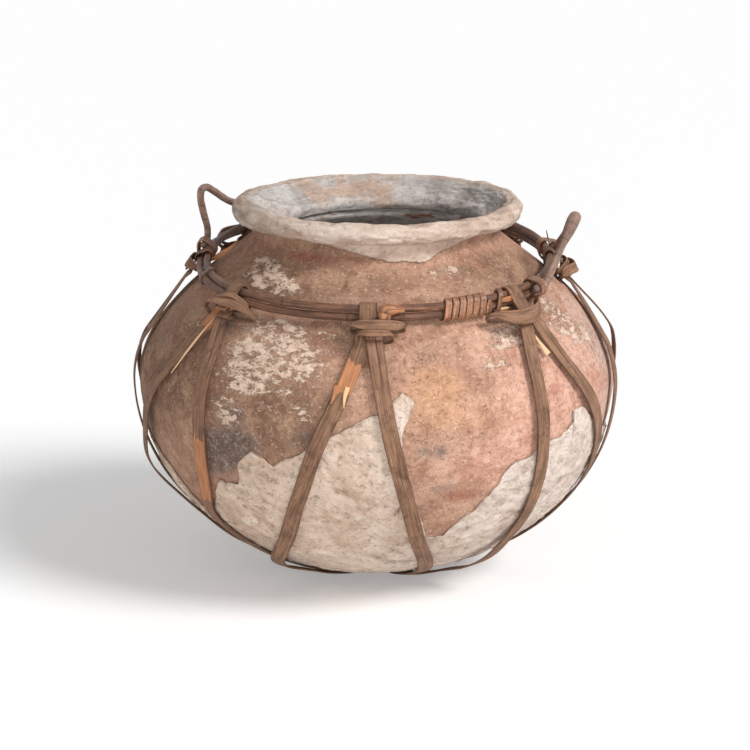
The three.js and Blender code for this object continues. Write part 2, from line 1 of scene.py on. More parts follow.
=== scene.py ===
import math
import bpy
import numpy as np
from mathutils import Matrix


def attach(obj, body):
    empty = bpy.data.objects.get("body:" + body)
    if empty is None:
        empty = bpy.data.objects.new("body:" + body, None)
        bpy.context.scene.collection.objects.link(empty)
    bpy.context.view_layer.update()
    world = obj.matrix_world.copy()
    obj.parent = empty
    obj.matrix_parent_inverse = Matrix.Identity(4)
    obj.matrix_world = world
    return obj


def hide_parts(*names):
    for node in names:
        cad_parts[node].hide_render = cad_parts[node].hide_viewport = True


# Looks of a round-bottomed terracotta jar in a carrying harness of split cane.
# Shapes are worked out in millimetres and put into the meshes in metres. Azimuths are degrees from +X
# towards +Y, and the front of the jar is at -90.
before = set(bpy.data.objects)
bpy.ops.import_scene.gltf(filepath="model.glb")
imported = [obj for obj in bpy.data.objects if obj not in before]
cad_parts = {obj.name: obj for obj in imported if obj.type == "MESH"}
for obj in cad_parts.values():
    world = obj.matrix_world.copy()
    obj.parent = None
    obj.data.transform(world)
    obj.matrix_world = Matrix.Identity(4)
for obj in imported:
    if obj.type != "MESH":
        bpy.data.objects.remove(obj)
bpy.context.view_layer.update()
toMetres = 0.001
print("frame loaded:", len(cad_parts), "nodes")


# Curves, noise and meshes

def stacked(*parts):  # arrays of matching shapes as one array of points
    return np.stack(np.broadcast_arrays(*parts), -1)


def polar(azimuth, radius, height):
    a = np.radians(azimuth)
    return stacked(radius * np.cos(a), radius * np.sin(a), height)


def unit(vectors):
    return vectors / np.maximum(np.linalg.norm(vectors, axis=-1, keepdims=True), 1e-9)


def ease(low, high, value):  # 0 below low, 1 above high, smooth between
    t = np.clip((value - low) / (high - low), 0, 1)
    return t * t * (3 - 2 * t)


def smoothAt(knots, values, at):
    # Cubic Hermite through the knots; each slope is the mean of its two chords, weighted by their lengths
    knots, values = np.asarray(knots, float), np.asarray(values, float)
    flat = values.ndim == 1
    values = values[:, None] if flat else values
    gaps = np.diff(knots)
    chords = np.diff(values, axis=0) / gaps[:, None]
    inner = (gaps[1:, None] * chords[:-1] + gaps[:-1, None] * chords[1:]) / (gaps[1:] + gaps[:-1])[:, None]
    slopes = np.concatenate([chords[:1], inner, chords[-1:]])
    i = np.clip(np.searchsorted(knots, at, "right") - 1, 0, len(gaps) - 1)
    h = gaps[i][:, None]
    t = ((at - knots[i]) / gaps[i])[:, None]
    made = ((1 + 2 * t) * (1 - t) ** 2 * values[i] + t * (1 - t) ** 2 * h * slopes[i]
            + t * t * (3 - 2 * t) * values[i + 1] + t * t * (t - 1) * h * slopes[i + 1])
    return made[:, 0] if flat else made


def lengthsAlong(points):
    steps = np.linalg.norm(np.diff(points, axis=0), axis=1)
    return np.concatenate([[0], np.cumsum(steps)])


def resample(points, count):  # evenly spaced points on a broken line
    along = lengthsAlong(points)
    at = np.linspace(0, along[-1], count)
    return np.stack([np.interp(at, along, points[:, k]) for k in range(points.shape[1])], 1)


def throughPoints(points, spacing):  # a smooth line through the points, with places about a spacing apart
    points = np.asarray(points, float)
    along = lengthsAlong(points)
    count = max(4, int(along[-1] / spacing))
    return smoothAt(along, points, np.linspace(0, along[-1], count))


def latticeValue(cell, seed):
    # Whole coordinates mixed by multiplying and folding into one number from 0 to 1
    n = cell[..., 0] * 73856093 ^ cell[..., 1] * 19349663 ^ cell[..., 2] * 83492791 ^ seed * 40503
    n = (n ^ (n >> 13)) * 1274126177 & 0xFFFFFFFF
    n = (n ^ (n >> 16)) * 668265263 & 0xFFFFFFFF
    return ((n ^ (n >> 15)) & 0xFFFFFF) / 0xFFFFFF


def softNoise(points, size, seed=0):
    # Blend of the eight lattice values round a point, eased towards each corner, from -1 to 1
    p = np.asarray(points, float) / size
    cell = np.floor(p).astype(np.int64)
    f = p - cell
    f = f * f * (3 - 2 * f)
    total = 0
    for corner in range(8):
        side = np.array([corner & 1, corner >> 1 & 1, corner >> 2 & 1])
        weight = np.prod(np.where(side, f, 1 - f), -1)
        total = total + weight * latticeValue(cell + side, seed)
    return total * 2 - 1


def layeredNoise(points, size, layers, seed=0):  # noise on finer and finer lattices, each half as strong
    total, strength = 0, 1.0
    for layer in range(layers):
        total = total + strength * softNoise(points, np.asarray(size) / 2 ** layer, seed + 17 * layer)
        strength *= 0.5
    return total


def pitDepth(points, size, seed, share):
    # Round hollows at jittered places in a lattice: 1 in the middle of a hollow, 0 outside; share of cells have one
    p = np.asarray(points, float) / size
    cell = np.floor(p).astype(np.int64)
    deepest = np.zeros(p.shape[:-1])
    for k in range(27):
        near = cell + np.array([k % 3 - 1, k // 3 % 3 - 1, k // 9 - 1])
        place = near + np.stack([latticeValue(near, seed + axis) for axis in (1, 2, 3)], -1)
        reach = 0.18 + 0.3 * latticeValue(near, seed + 4)
        there = latticeValue(near, seed + 5) < share
        away = np.linalg.norm(p - place, axis=-1) / reach
        deepest = np.maximum(deepest, np.where(there, np.clip(1 - away ** 2, 0, 1), 0))
    return deepest


def makeObject(name, points, faces, material):  # points in metres, the object at the origin
    mesh = bpy.data.meshes.new(name)
    mesh.from_pydata(points.tolist(), [], faces)
    mesh.materials.append(material)
    made = bpy.data.objects.new(name, mesh)
    bpy.context.scene.collection.objects.link(made)
    return made


def makePiece(name, points, material, body="root", replaces=(), ring=False, layers=None):
    # A grid of points as one closed surface: its columns wrap round, and its rows wrap too (ring) or are capped
    rows, columns = points.shape[:2]
    i, j = np.meshgrid(np.arange(rows if ring else rows - 1), np.arange(columns), indexing="ij")
    i, j = i.ravel(), j.ravel()
    i2, j2 = (i + 1) % rows, (j + 1) % columns
    quads = np.stack([i * columns + j, i * columns + j2, i2 * columns + j2, i2 * columns + j], 1)
    across = np.linalg.norm(np.diff(points, axis=1, append=points[:, :1]), axis=-1).max(0)
    along = np.linalg.norm(np.diff(points, axis=0, append=points[:1]), axis=-1).mean(1)
    across, along = [np.concatenate([[0], np.cumsum(steps)]) * toMetres for steps in (across, along)]
    uv = np.stack([np.stack([across[j + dj], along[i + di]], 1) for di, dj in ((0, 0), (0, 1), (1, 1), (1, 0))], 1)
    flatPoints = points.reshape(-1, 3)
    a, b, c, d = (flatPoints[quads[:, k]] for k in range(4))
    volume = np.einsum("ij,ij->i", a, np.cross(b, c)).sum() + np.einsum("ij,ij->i", a, np.cross(c, d)).sum()
    faces = quads.tolist()
    caps = [] if ring else [list(range(columns))[::-1], list(range((rows - 1) * columns, rows * columns))]
    uvs = [uv.reshape(-1, 2)] + [np.tile([[0.0, along[-1] * end]], (columns, 1)) for end in range(len(caps))]
    if volume < 0:
        faces = [face[::-1] for face in faces]
        uvs[0] = uv[:, ::-1].reshape(-1, 2)
        caps = [face[::-1] for face in caps]
    piece = makeObject(name, flatPoints * toMetres, faces + caps, material)
    mesh = piece.data
    mesh.uv_layers.new(name="wrap").data.foreach_set("uv", np.concatenate(uvs).astype(np.float32).ravel())
    for key, values in (layers or {}).items():
        attribute = mesh.attributes.new(key, "FLOAT", "POINT")
        attribute.data.foreach_set("value", np.broadcast_to(values, (rows, columns)).astype(np.float32).ravel())
    mesh.polygons.foreach_set("use_smooth", np.ones(len(mesh.polygons), bool))
    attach(piece, body)
    if replaces:
        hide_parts(*replaces)


# Node wiring

def tone(red, green, blue):  # a colour as it looks on screen, 0 to 255, for a shader socket
    linear = [(v / 255 / 12.92) if v <= 10 else ((v / 255 + 0.055) / 1.055) ** 2.4 for v in (red, green, blue)]
    return (*linear, 1.0)


class Wiring:
    def __init__(self, name):
        self.material = bpy.data.materials.new(name)
        self.material.use_nodes = True
        self.tree = self.material.node_tree
        self.shader = self.tree.nodes["Principled BSDF"]
        self.place = self.add("ShaderNodeTexCoord").outputs["Object"]
        self.wrap = self.add("ShaderNodeUVMap", uv_map="wrap").outputs["UV"]
        self.colour = None

    def join(self, socket, value):
        if isinstance(value, bpy.types.NodeSocket):
            self.tree.links.new(value, socket)
        else:
            socket.default_value = value

    def add(self, kind, inputs=None, **settings):
        node = self.tree.nodes.new(kind)
        for key, value in settings.items():
            setattr(node, key, value)
        for key, value in (inputs or {}).items():
            self.join(node.inputs[key], value)
        return node

    def layer(self, name):
        return self.add("ShaderNodeAttribute", attribute_name=name).outputs["Fac"]

    def mapped(self, vector, scale, turn, shift):  # shifted, turned by degrees, then scaled
        return self.add("ShaderNodeMapping", {
            "Vector": vector, "Scale": [1 / s for s in scale], "Rotation": [math.radians(angle) for angle in turn],
            "Location": [-s for s in shift]}, vector_type="TEXTURE").outputs[0]

    def placed(self, scale=(1, 1, 1), turn=0, shift=(0, 0, 0)):  # the place in the object, turned about Y
        return self.mapped(self.place, scale, (0, turn, 0), shift)

    def wrapped(self, scale=(1, 1, 1), turn=0, shift=(0, 0, 0)):  # the place on the piece's own wrap
        return self.mapped(self.wrap, scale, (0, 0, turn), shift)

    def noise(self, vector, scale, detail=4.0, roughness=0.6, distortion=0.0):
        return self.add("ShaderNodeTexNoise", {"Vector": vector, "Scale": scale, "Detail": detail,
                                               "Roughness": roughness, "Distortion": distortion}).outputs["Fac"]

    def grain(self, *settings):  # noise at the place in the object
        return self.noise(self.place, *settings)

    def cells(self, vector, scale, feature):
        node = self.add("ShaderNodeTexVoronoi", {"Vector": vector, "Scale": scale}, feature=feature)
        return node.outputs["Distance"]

    def maths(self, operation, a, b=0.0):
        return self.add("ShaderNodeMath", {0: a, 1: b}, operation=operation).outputs[0]

    def times(self, a, b):
        return self.maths("MULTIPLY", a, b)

    def sum(self, *parts):
        total = parts[0]
        for part in parts[1:]:
            total = self.maths("ADD", total, part)
        return total

    def weighed(self, *pairs):
        return self.sum(*[self.times(value, weight) for value, weight in pairs])

    def about(self, noise, strength):  # a noise moved to swing about 0
        return self.times(self.sum(noise, -0.5), strength)

    def thinLines(self, noise, low, high):  # 1 in a narrow band where the noise crosses its middle value
        return self.between(self.maths("ABSOLUTE", self.sum(noise, -0.5)), high, low)

    def between(self, value, low, high):  # 0 at low, 1 at high, eased
        return self.add("ShaderNodeMapRange", {"Value": value, "From Min": low, "From Max": high},
                        interpolation_type="SMOOTHSTEP").outputs["Result"]

    def blend(self, share, a, b):
        # The share is a number, a socket or (value, low, high); each colour is a socket or a screen colour
        node = self.add("ShaderNodeMix", data_type="RGBA", blend_type="MIX", clamp_factor=True)
        self.join(node.inputs[0], self.between(*share) if isinstance(share, tuple) else share)
        for key, colour in ((6, a), (7, b)):
            self.join(node.inputs[key], tone(*colour) if isinstance(colour, tuple) else colour)
        return node.outputs[2]

    def paint(self, share, colour, strength=None):  # lays a colour over what is there, where its share is 1
        share = self.between(*share) if isinstance(share, tuple) else share
        self.colour = self.blend(share if strength is None else self.times(share, strength), self.colour, colour)

    def bump(self, height, distance, strength=1.0, normal=None):
        inputs = {"Height": height, "Distance": distance, "Strength": strength}
        if normal is not None:
            inputs["Normal"] = normal
        return self.add("ShaderNodeBump", inputs).outputs["Normal"]

    def finish(self, roughness, normal, specular):
        for key, value in (("Base Color", self.colour), ("Roughness", roughness), ("Normal", normal)):
            self.join(self.shader.inputs[key], value)
        self.shader.inputs["Specular IOR Level"].default_value = specular
        return self.material


# Camera and light

view = {
    "place": (0.0, -1.700, 0.5908), "looksAt": (0.0, 0.0, 0.156), "lens": 104.48, "shift": -0.0023,
    "keyAzimuth": -32.0, "keyRise": 40.0, "keySpread": 22.0, "keyPower": 2.6,
    "fillPlace": (0.0, -2.6, 0.34), "fillSize": 0.9, "fillPower": 27.0,
    "sky": 0.33, "floorHalf": 6.0, "floorLift": 0.27,
}


def seenShare(tree):  # 1 for what the camera, a reflection or clear glass sees, 0 for light that falls on things
    path = tree.nodes.new("ShaderNodeLightPath")
    seen = path.outputs["Is Camera Ray"]
    for kind in ("Is Glossy Ray", "Is Transmission Ray"):
        either = tree.nodes.new("ShaderNodeMath")
        either.operation = "MAXIMUM"
        tree.links.new(seen, either.inputs[0])
        tree.links.new(path.outputs[kind], either.inputs[1])
        seen = either.outputs[0]
    return seen


def put(name, data, place, turn, **settings):  # a camera or a lamp in the scene
    for key, value in settings.items():
        setattr(data, key, value)
    item = bpy.data.objects.new(name, data)
    item.location, item.rotation_euler = place, turn
    bpy.context.scene.collection.objects.link(item)
    return item


def makeView():
    scene = bpy.context.scene
    scene.view_settings.view_transform = "Standard"
    towards = np.array(view["looksAt"]) - np.array(view["place"])
    scene.camera = put("camera", bpy.data.cameras.new("camera"), view["place"],
                       (math.pi / 2 + math.atan2(towards[2], towards[1]), 0, 0),
                       lens=view["lens"], sensor_width=36.0, shift_x=view["shift"], clip_end=60.0)
    put("key", bpy.data.lights.new("key", "SUN"), (0, 0, 0),
        (math.radians(90 - view["keyRise"]), 0, math.radians(view["keyAzimuth"] + 90)),
        angle=math.radians(view["keySpread"]), energy=view["keyPower"])
    aim = np.array([0, 0, 0.15]) - np.array(view["fillPlace"])
    put("fill", bpy.data.lights.new("fill", "AREA"), view["fillPlace"],
        (math.atan2(math.hypot(aim[0], aim[1]), -aim[2]), 0, math.atan2(aim[1], aim[0]) - math.pi / 2),
        size=view["fillSize"], energy=view["fillPower"])
    world = bpy.data.worlds.new("studio")
    scene.world = world
    world.use_nodes = True
    tree = world.node_tree
    background = tree.nodes["Background"]
    background.inputs["Color"].default_value = (1, 1, 1, 1)
    level = tree.nodes.new("ShaderNodeMapRange")
    level.inputs["To Min"].default_value = view["sky"]
    level.inputs["To Max"].default_value = 1.0
    tree.links.new(seenShare(tree), level.inputs["Value"])
    tree.links.new(level.outputs["Result"], background.inputs["Strength"])


def makeFloor():
    half = view["floorHalf"] / toMetres
    line = np.linspace(-half, half, 9)
    x, y = np.meshgrid(line, line, indexing="ij")
    wiring = Wiring("paleFloor")
    settings = {"Emission Strength": wiring.times(seenShare(wiring.tree), view["floorLift"]),
                "Emission Color": (1, 1, 1, 1), "Base Color": (0.82, 0.82, 0.82, 1), "Roughness": 0.95,
                "Specular IOR Level": 0.1}
    for key, value in settings.items():
        wiring.join(wiring.shader.inputs[key], value)
    points = np.stack([x, y, np.zeros_like(x)], -1).reshape(-1, 3) * toMetres
    n = len(line)
    i, j = np.meshgrid(np.arange(n - 1), np.arange(n - 1), indexing="ij")
    quads = np.stack([i * n + j, (i + 1) * n + j, (i + 1) * n + j + 1, i * n + j + 1], -1).reshape(-1, 4)
    floor = makeObject("floor", points, quads.tolist(), wiring.material)


makeView()
makeFloor()
print("camera, lamps and floor made")


# The jar
jar = {
    "bellyRadius": 190.0, "bellyHeight": 161.0, "underside": 4.0, "foot": 6.0,
    "neckRadius": 98.0, "neckHeight": 274.0, "fullness": 1.17,
    "lipRadius": 107.6, "lipHeight": 293.0, "lipRoll": 5.9, "lipTilt": 2.0,
    "throatRadius": 80.0, "throatHeight": 282.6,
    "crook": [(98.7, 279.0), (99.5, 283.0), (100.4, 286.6)],
    "wall": 9.0, "floorHeight": 18.0, "mouthAside": 8.5,
    "columns": 420, "outerRows": 132, "innerRows": 58, "fineRows": 200, "innerSpread": 1.7,
    # Soft patches painted on the clay as [azimuth, height, half width in degrees, half height, strength]
    "lime": [(-117, 228, 17, 8, 0.95), (-114, 215, 14, 7, 0.95), (-109, 202, 13, 9, 0.9), (-125, 203, 8, 13, 0.9),
             (-121, 188, 4, 6, 0.8), (-126, 165, 5, 15, 0.8), (-107, 171, 4, 9, 0.7), (-110, 187, 5, 6, 0.6),
             (-118, 178, 16, 22, 0.35), (-147, 216, 5, 5, 0.7), (-134, 254, 12, 9, 1.1), (-122, 250, 8, 5, 1.0),
             (-141, 263, 9, 6, 0.9), (-104, 258, 5, 3, 0.7), (-156, 190, 10, 26, 0.45), (-70, 262, 9, 4, 0.5),
             (-55, 214, 8, 6, 1.05), (-60, 202, 7, 5, 1.0), (-52, 223, 7, 5, 0.9), (-67, 166, 4, 10, 0.6),
             (-80, 166, 3, 4, 0.55), (-80, 98, 3, 16, 0.5), (-30, 218, 9, 8, 1.1), (-24, 207, 8, 8, 1.05),
             (-28, 231, 7, 6, 0.95), (-59, 262, 8, 4, 1.0), (-16, 190, 9, 22, 0.6), (-46, 240, 8, 6, 0.5),
             (-56, 161, 2, 3, 0.6), (-60, 250, 16, 5, 0.35),
             (60, 205, 26, 22, 0.6), (120, 190, 24, 26, 0.55), (95, 235, 18, 8, 0.6), (165, 215, 16, 16, 0.6),
             (20, 178, 9, 14, 0.45)],
    # The brown patch at azimuth -90, height 258 is dirt and painted shade together: a darker band on the shoulder
    # above the hoop
    "brown": [(-150, 180, 26, 70, 0.9), (-112, 172, 19, 34, 0.85), (-125, 256, 30, 12, 0.85), (-98, 225, 16, 9, 0.6),
              (-77, 212, 6, 7, 0.45), (-90, 258, 50, 8, 0.6), (-118, 279, 24, 8, 0.9), (160, 170, 30, 60, 0.8),
              (-100, 130, 12, 20, 0.7), (-34, 258, 20, 12, 0.95), (-68, 106, 8, 6, 0.45), (100, 160, 30, 40, 0.5)],
    "soot": [(-124, 140, 6, 18, 1.1), (-131, 128, 6, 20, 0.9), (-123, 168, 3, 6, 0.7), (-105, 156, 4, 9, 0.8),
             (-113, 148, 6, 8, 0.5), (-78, 146, 6, 8, 0.62), (-123, 226, 4, 5, 0.6), (-136, 225, 8, 10, 0.6),
             (-73, 114, 6, 8, 0.5), (-160, 210, 12, 26, 0.5), (-118, 243, 12, 5, 0.4), (140, 140, 24, 22, 0.6),
             (45, 245, 20, 9, 0.5)],
    "pink": [(-42, 165, 24, 46, 0.9), (-8, 180, 24, 60, 0.8), (-52, 215, 10, 16, 0.4), (30, 190, 30, 60, 0.6),
             (-45, 128, 16, 20, 0.7), (-60, 130, 14, 18, 0.6)],
    "rust": [(-45, 178, 4, 7, 0.7), (-53, 146, 4, 7, 0.65), (-69, 108, 8, 7, 0.8), (-120, 270, 18, 5, 0.75),
             (-132, 185, 4, 8, 0.4), (-44, 262, 6, 5, 0.6), (-83, 206, 7, 8, 0.4)],
    "tan": [(-76, 194, 8, 14, 0.9), (-66, 168, 8, 14, 0.6), (-80, 170, 8, 16, 0.5), (-70, 232, 20, 9, 0.4)],
    "pale": [(-14, 180, 14, 50, 1.0), (-164, 165, 16, 50, 0.9)],
}


def wallRadius(height):
    # Round bottom: a half ellipse under the belly. Shoulder: neck + (belly - neck) * (1 - rise^2) ^ fullness
    depth = jar["bellyHeight"] - jar["underside"]
    drop = np.clip((jar["bellyHeight"] - height) / depth, 0, 1)
    rise = np.clip((height - jar["bellyHeight"]) / (jar["neckHeight"] - jar["bellyHeight"]), 0, 1)
    low = jar["bellyRadius"] * np.sqrt(np.maximum(1 - drop ** 2, 0))
    high = jar["neckRadius"] + (jar["bellyRadius"] - jar["neckRadius"]) * (1 - rise ** 2) ** jar["fullness"]
    return np.where(height < jar["bellyHeight"], low, high)


def offWall(height, standoff):  # radius and height of a point off the wall along its normal
    height = np.asarray(height, float)
    slope = (wallRadius(height + 0.4) - wallRadius(height - 0.4)) / 0.8
    size = np.sqrt(1 + slope ** 2)
    return wallRadius(height) + standoff / size, height - standoff * slope / size


def patchSum(patches, azimuth, height):
    # Soft round patches added up: strength * exp(-0.9 * ((turn from its azimuth / width)^2 + (rise / height)^2))
    total = np.zeros(np.broadcast(azimuth, height).shape)
    for at, level, wide, tall, strength in patches:
        away = (azimuth - at + 180) % 360 - 180
        total = total + strength * np.exp(-((away / wide) ** 2 + ((height - level) / tall) ** 2) * 0.9)
    return np.clip(total, 0, 1.4)


def normalsOf(profile):  # outward normals of a broken line that goes up the outside
    ahead = unit(np.gradient(profile, axis=0))
    return np.stack([ahead[:, 1], -ahead[:, 0]], 1)


def lipRise(azimuth, height):  # the lip's plane dips towards the front by the sine of the azimuth
    return jar["lipTilt"] * np.sin(np.radians(azimuth)) * ease(276, 288, height)


def arc(centre, radius, start, end, count):
    a = np.radians(np.linspace(start, end, count))
    return np.stack([centre[0] + radius * np.cos(a), centre[1] + radius * np.sin(a)], 1)


def makeJar(material):
    depth = jar["bellyHeight"] - jar["underside"]
    footAngle = math.asin((jar["bellyHeight"] - jar["foot"]) / depth)
    lowAngle = np.linspace(footAngle, 0, jar["fineRows"])
    bottom = np.stack([jar["bellyRadius"] * np.cos(lowAngle), jar["bellyHeight"] - depth * np.sin(lowAngle)], 1)
    rise = np.sin(np.linspace(0, math.pi / 2, jar["fineRows"]))
    upper = jar["bellyHeight"] + (jar["neckHeight"] - jar["bellyHeight"]) * rise
    shoulder = np.stack([wallRadius(upper), upper], 1)
    outer = np.concatenate([resample(np.concatenate([bottom, shoulder[1:]]), jar["outerRows"]), jar["crook"]])
    lip = arc((jar["lipRadius"], jar["lipHeight"]), jar["lipRoll"], -148, 130, 14)
    innerRadius = jar["bellyRadius"] - jar["wall"]
    innerTop = jar["neckHeight"] - jar["wall"]
    insideRise = np.sin(np.linspace(math.pi / 2, 0, 90))
    insideShoulder = np.stack([
        jar["neckRadius"] - jar["wall"] + (innerRadius - jar["neckRadius"] + jar["wall"])
        * (1 - insideRise ** 2) ** jar["fullness"],
        jar["bellyHeight"] + (innerTop - jar["bellyHeight"]) * insideRise], 1)
    down = np.linspace(0, math.pi / 2 * 0.995, 120)
    insideBottom = np.stack([innerRadius * np.cos(down),
                             jar["bellyHeight"] - (jar["bellyHeight"] - jar["floorHeight"]) * np.sin(down)], 1)
    throat = np.array([[jar["throatRadius"], jar["throatHeight"]], [jar["throatRadius"] + 1.0, 272]])
    inside = resample(np.concatenate([throat, insideShoulder[4:], insideBottom[1:]]), jar["fineRows"])
    # Rows lie close together near the throat, where the mouth shows them, and far apart on the floor
    spread = np.linspace(0, 1, jar["innerRows"]) ** jar["innerSpread"] * (jar["fineRows"] - 1)
    inside = inside[np.unique(spread.astype(int))]
    underside = [[0.5, jar["foot"]], [20, jar["foot"]]]
    profile = np.concatenate([underside, outer, lip, inside, [[0.5, jar["floorHeight"]]]])
    kind = np.concatenate([np.zeros(2 + len(outer)), np.full(len(lip), 0.5), np.ones(len(inside) + 1)])
    azimuth = np.linspace(-180, 180, jar["columns"], endpoint=False)[None]
    radius, height = profile[:, :1], profile[:, 1:]
    base = polar(azimuth, radius, height)
    out = normalsOf(profile)
    # Beaten by hand: broad dents, ripples of the paddle, grain, and shallow hollows; all lie inside the plain wall
    relief = (0.45 * layeredNoise(base, [70, 70, 46], 2, 3) + 0.22 * softNoise(base, 17, 11)
              + 0.10 * softNoise(base, 6.5, 23) - 0.5 * pitDepth(base, 16, 31, 0.16) - 0.4)
    relief = np.clip(relief, -1.6, 0.2)
    outside, within = kind[:, None] == 0, kind[:, None] == 1
    relief = np.where(outside, relief, np.where(within, relief * 1.2, -0.2))
    relief = relief * (height > jar["foot"] + 0.5)
    relief[-1] = 0
    radius = radius + out[:, :1] * relief
    height = height + out[:, 1:] * relief + lipRise(azimuth, height)
    points = polar(azimuth, radius, height)
    # The mouth was cut a little to the right of the jar's axis
    points[..., 0] += jar["mouthAside"] * ease(225, 279, height) * within
    painted = {key: patchSum(jar[key], azimuth, height) * outside
               for key in ("lime", "brown", "soot", "pink", "rust", "tan", "pale")}
    makePiece("jarBody", points, material, replaces=("jar_body",), layers={**painted, "inside": within})


def clayMaterial():
    w = Wiring("sootyTerracotta")
    broad, cloudy = w.grain(9, 3), w.grain(34, 8, 0.72, 0.5)
    fine, grain = w.grain(230, 6, 0.76), w.grain(800, 3, 0.65)
    # Fired body: tan orange in front, pink to the right, pale at the far right, brown where smoke reached it; the
    # brown band just above the hoop in front is dirt and painted shade together
    w.colour = w.blend((cloudy, 0.38, 0.62), (168, 126, 104), (200, 159, 136))
    w.paint((w.sum(w.layer("tan"), w.about(cloudy, 1.6)), 0.2, 0.9),
            w.blend(fine, (180, 129, 95), (214, 166, 127)), 0.7)
    w.paint((w.sum(w.layer("pink"), w.about(cloudy, 1.4)), 0.12, 0.85),
            w.blend((cloudy, 0.36, 0.64), (196, 144, 123), (219, 174, 153)))
    w.paint((w.sum(w.layer("pale"), w.about(cloudy, 1.4)), 0.25, 0.9),
            w.blend(cloudy, (184, 152, 138), (218, 188, 174)), 0.75)
    w.paint((w.sum(w.layer("brown"), w.about(broad, 0.9), w.about(cloudy, 1.6)), 0.18, 0.95),
            w.blend((cloudy, 0.38, 0.64), (120, 89, 72), (178, 141, 115)))
    w.paint((w.sum(w.layer("rust"), w.about(cloudy, 1.8)), 0.3, 0.9), (164, 98, 78), 0.7)
    w.paint((w.sum(w.layer("soot"), w.about(cloudy, 2.2), w.about(fine, 1.0)), 0.34, 0.95),
            w.blend((fine, 0.36, 0.64), (72, 65, 62), (132, 117, 108)), 0.84)
    # Mottling, dark and light grains of the clay, and wiping marks
    w.paint((fine, 0.50, 0.36), (120, 86, 68), 0.42)
    w.paint((fine, 0.55, 0.68), (236, 206, 184), 0.34)
    darkGrain = w.between(w.grain(520, 3, 0.6), 0.60, 0.68)
    w.paint(darkGrain, (104, 76, 62), 0.36)
    w.paint((w.noise(w.placed(shift=(3, 1, 2)), 430, 3, 0.65), 0.60, 0.68), (232, 206, 184), 0.55)
    w.paint((w.noise(w.wrapped((0.16, 1, 1), 7), 420, 4, 0.6), 0.56, 0.66), (112, 80, 64), 0.28)
    # Hairline crazing that runs down to the right, and a finer net of cracks here and there
    crack = w.thinLines(w.noise(w.placed((1, 1, 0.25), -32), 58, 3, 0.55, 0.8), 0.001, 0.008)
    crackShare = w.times(crack, w.between(w.grain(16, 2), 0.44, 0.58))
    netted = w.cells(w.placed((1, 1, 0.6), 18), 95, "DISTANCE_TO_EDGE")
    netShare = w.times(w.between(netted, 0.035, 0.005), w.between(w.grain(27, 3), 0.52, 0.64))
    crackShare = w.maths("MAXIMUM", crackShare, w.times(netShare, 0.35))
    w.paint(crackShare, (110, 78, 62), 0.42)
    # Flakes of old limewash, ragged and drawn out sideways, as a wiping hand leaves them
    flake = w.noise(w.placed((1, 1, 2.3)), 88, 11, 0.80, 0.35)
    limeLayer = w.maths("MINIMUM", w.layer("lime"), 1.0)
    limeShare = w.between(w.sum(w.times(limeLayer, 0.25), flake), 0.722, 0.742)
    w.paint(limeShare, w.blend((fine, 0.34, 0.66), (200, 170, 148), (238, 212, 192)), 0.94)
    # Inside: pale wash smeared over smoke, with rusty streaks; its pale tones are partly painted light, lifting the
    # inner wall, which lies in shade
    smear, rusty = w.noise(w.placed((1, 1, 3.2)), 60, 7, 0.74, 0.8), w.noise(w.placed((1, 1, 5)), 45, 5)
    inner = w.blend((smear, 0.4, 0.6), (186, 178, 173), (244, 238, 232))
    w.paint(w.layer("inside"), w.blend((rusty, 0.58, 0.66), inner, (176, 116, 94)))
    normal = w.bump(w.weighed((grain, 0.4), (fine, 0.9), (darkGrain, -0.5)), 0.0008, 0.85)
    normal = w.bump(w.sum(limeShare, w.times(crackShare, -0.8)), 0.00045, 0.9, normal)
    return w.finish(w.sum(0.82, w.times(grain, 0.14)), normal, 0.22)


makeJar(clayMaterial())
print("jar made")


# The coat of dried mud on the lower half
mudCoat = {
    "columns": 900, "rows": 84, "innerRows": 24, "meanSpan": 26,
    "low": 15.0, "seat": 0.15, "thickness": 2.45, "edgeThickness": 1.7, "thickest": 3.4, "rim": (0.97, 0.8, 0.45),
    "perDegree": 2.6, "climb": 0.85, "drawIn": (1, 13), "evenOut": (0.10, 0.62),
    # Its broken upper edge as [azimuth, height]; the part behind the jar is a free continuation
    "edge": [(-163, 113), (-155, 102), (-153, 86), (-150, 71), (-142, 73), (-135, 93), (-132, 107), (-130, 110),
             (-125, 111), (-123.6, 119), (-123.2, 129), (-122, 134), (-119, 142), (-117, 137), (-114, 131),
             (-109, 141), (-105.5, 147), (-99, 161), (-97, 164), (-94.6, 168), (-92, 172), (-89.5, 174),
             (-87.6, 178), (-86.3, 184), (-84.6, 187.5), (-82.6, 186.5), (-81.7, 182), (-82.4, 176), (-84, 170),
             (-84.6, 164), (-84.7, 157), (-84.2, 145), (-83.7, 133), (-82.5, 124), (-80.3, 100), (-76.5, 72),
             (-74.2, 68.5), (-71.1, 71), (-70.4, 75), (-68.6, 81), (-67.3, 87), (-65.5, 91), (-63.5, 99),
             (-62.2, 106), (-60.1, 114), (-59.7, 122), (-58.1, 128), (-56.1, 131), (-52.8, 133), (-47.5, 143),
             (-43.4, 142), (-41.5, 146), (-38.6, 153), (-39.3, 159), (-37.4, 160.5), (-33.7, 157), (-25, 136),
             (-12, 124), (0, 118), (14, 131), (27, 148), (40, 142), (52, 120), (66, 108), (80, 112), (94, 131),
             (106, 150), (118, 148), (130, 126), (142, 108), (158, 104), (174, 124), (187, 122), (197, 113)],
}


def mudEdge(count):
    knots = np.array(mudCoat["edge"], float)
    along = lengthsAlong(knots * [mudCoat["perDegree"], 1])
    at = np.linspace(0, along[-1], count, endpoint=False)
    edge = np.stack([np.interp(at, along, knots[:, 0]), np.interp(at, along, knots[:, 1])], 1)
    ragged = polar(edge[:, 0], jar["bellyRadius"], edge[:, 1])  # small bites and teeth along the break
    edge[:, 1] += 1.5 * layeredNoise(ragged, 9, 3, 71)
    edge[:, 0] += 0.35 * layeredNoise(ragged, 7, 2, 83)
    return edge


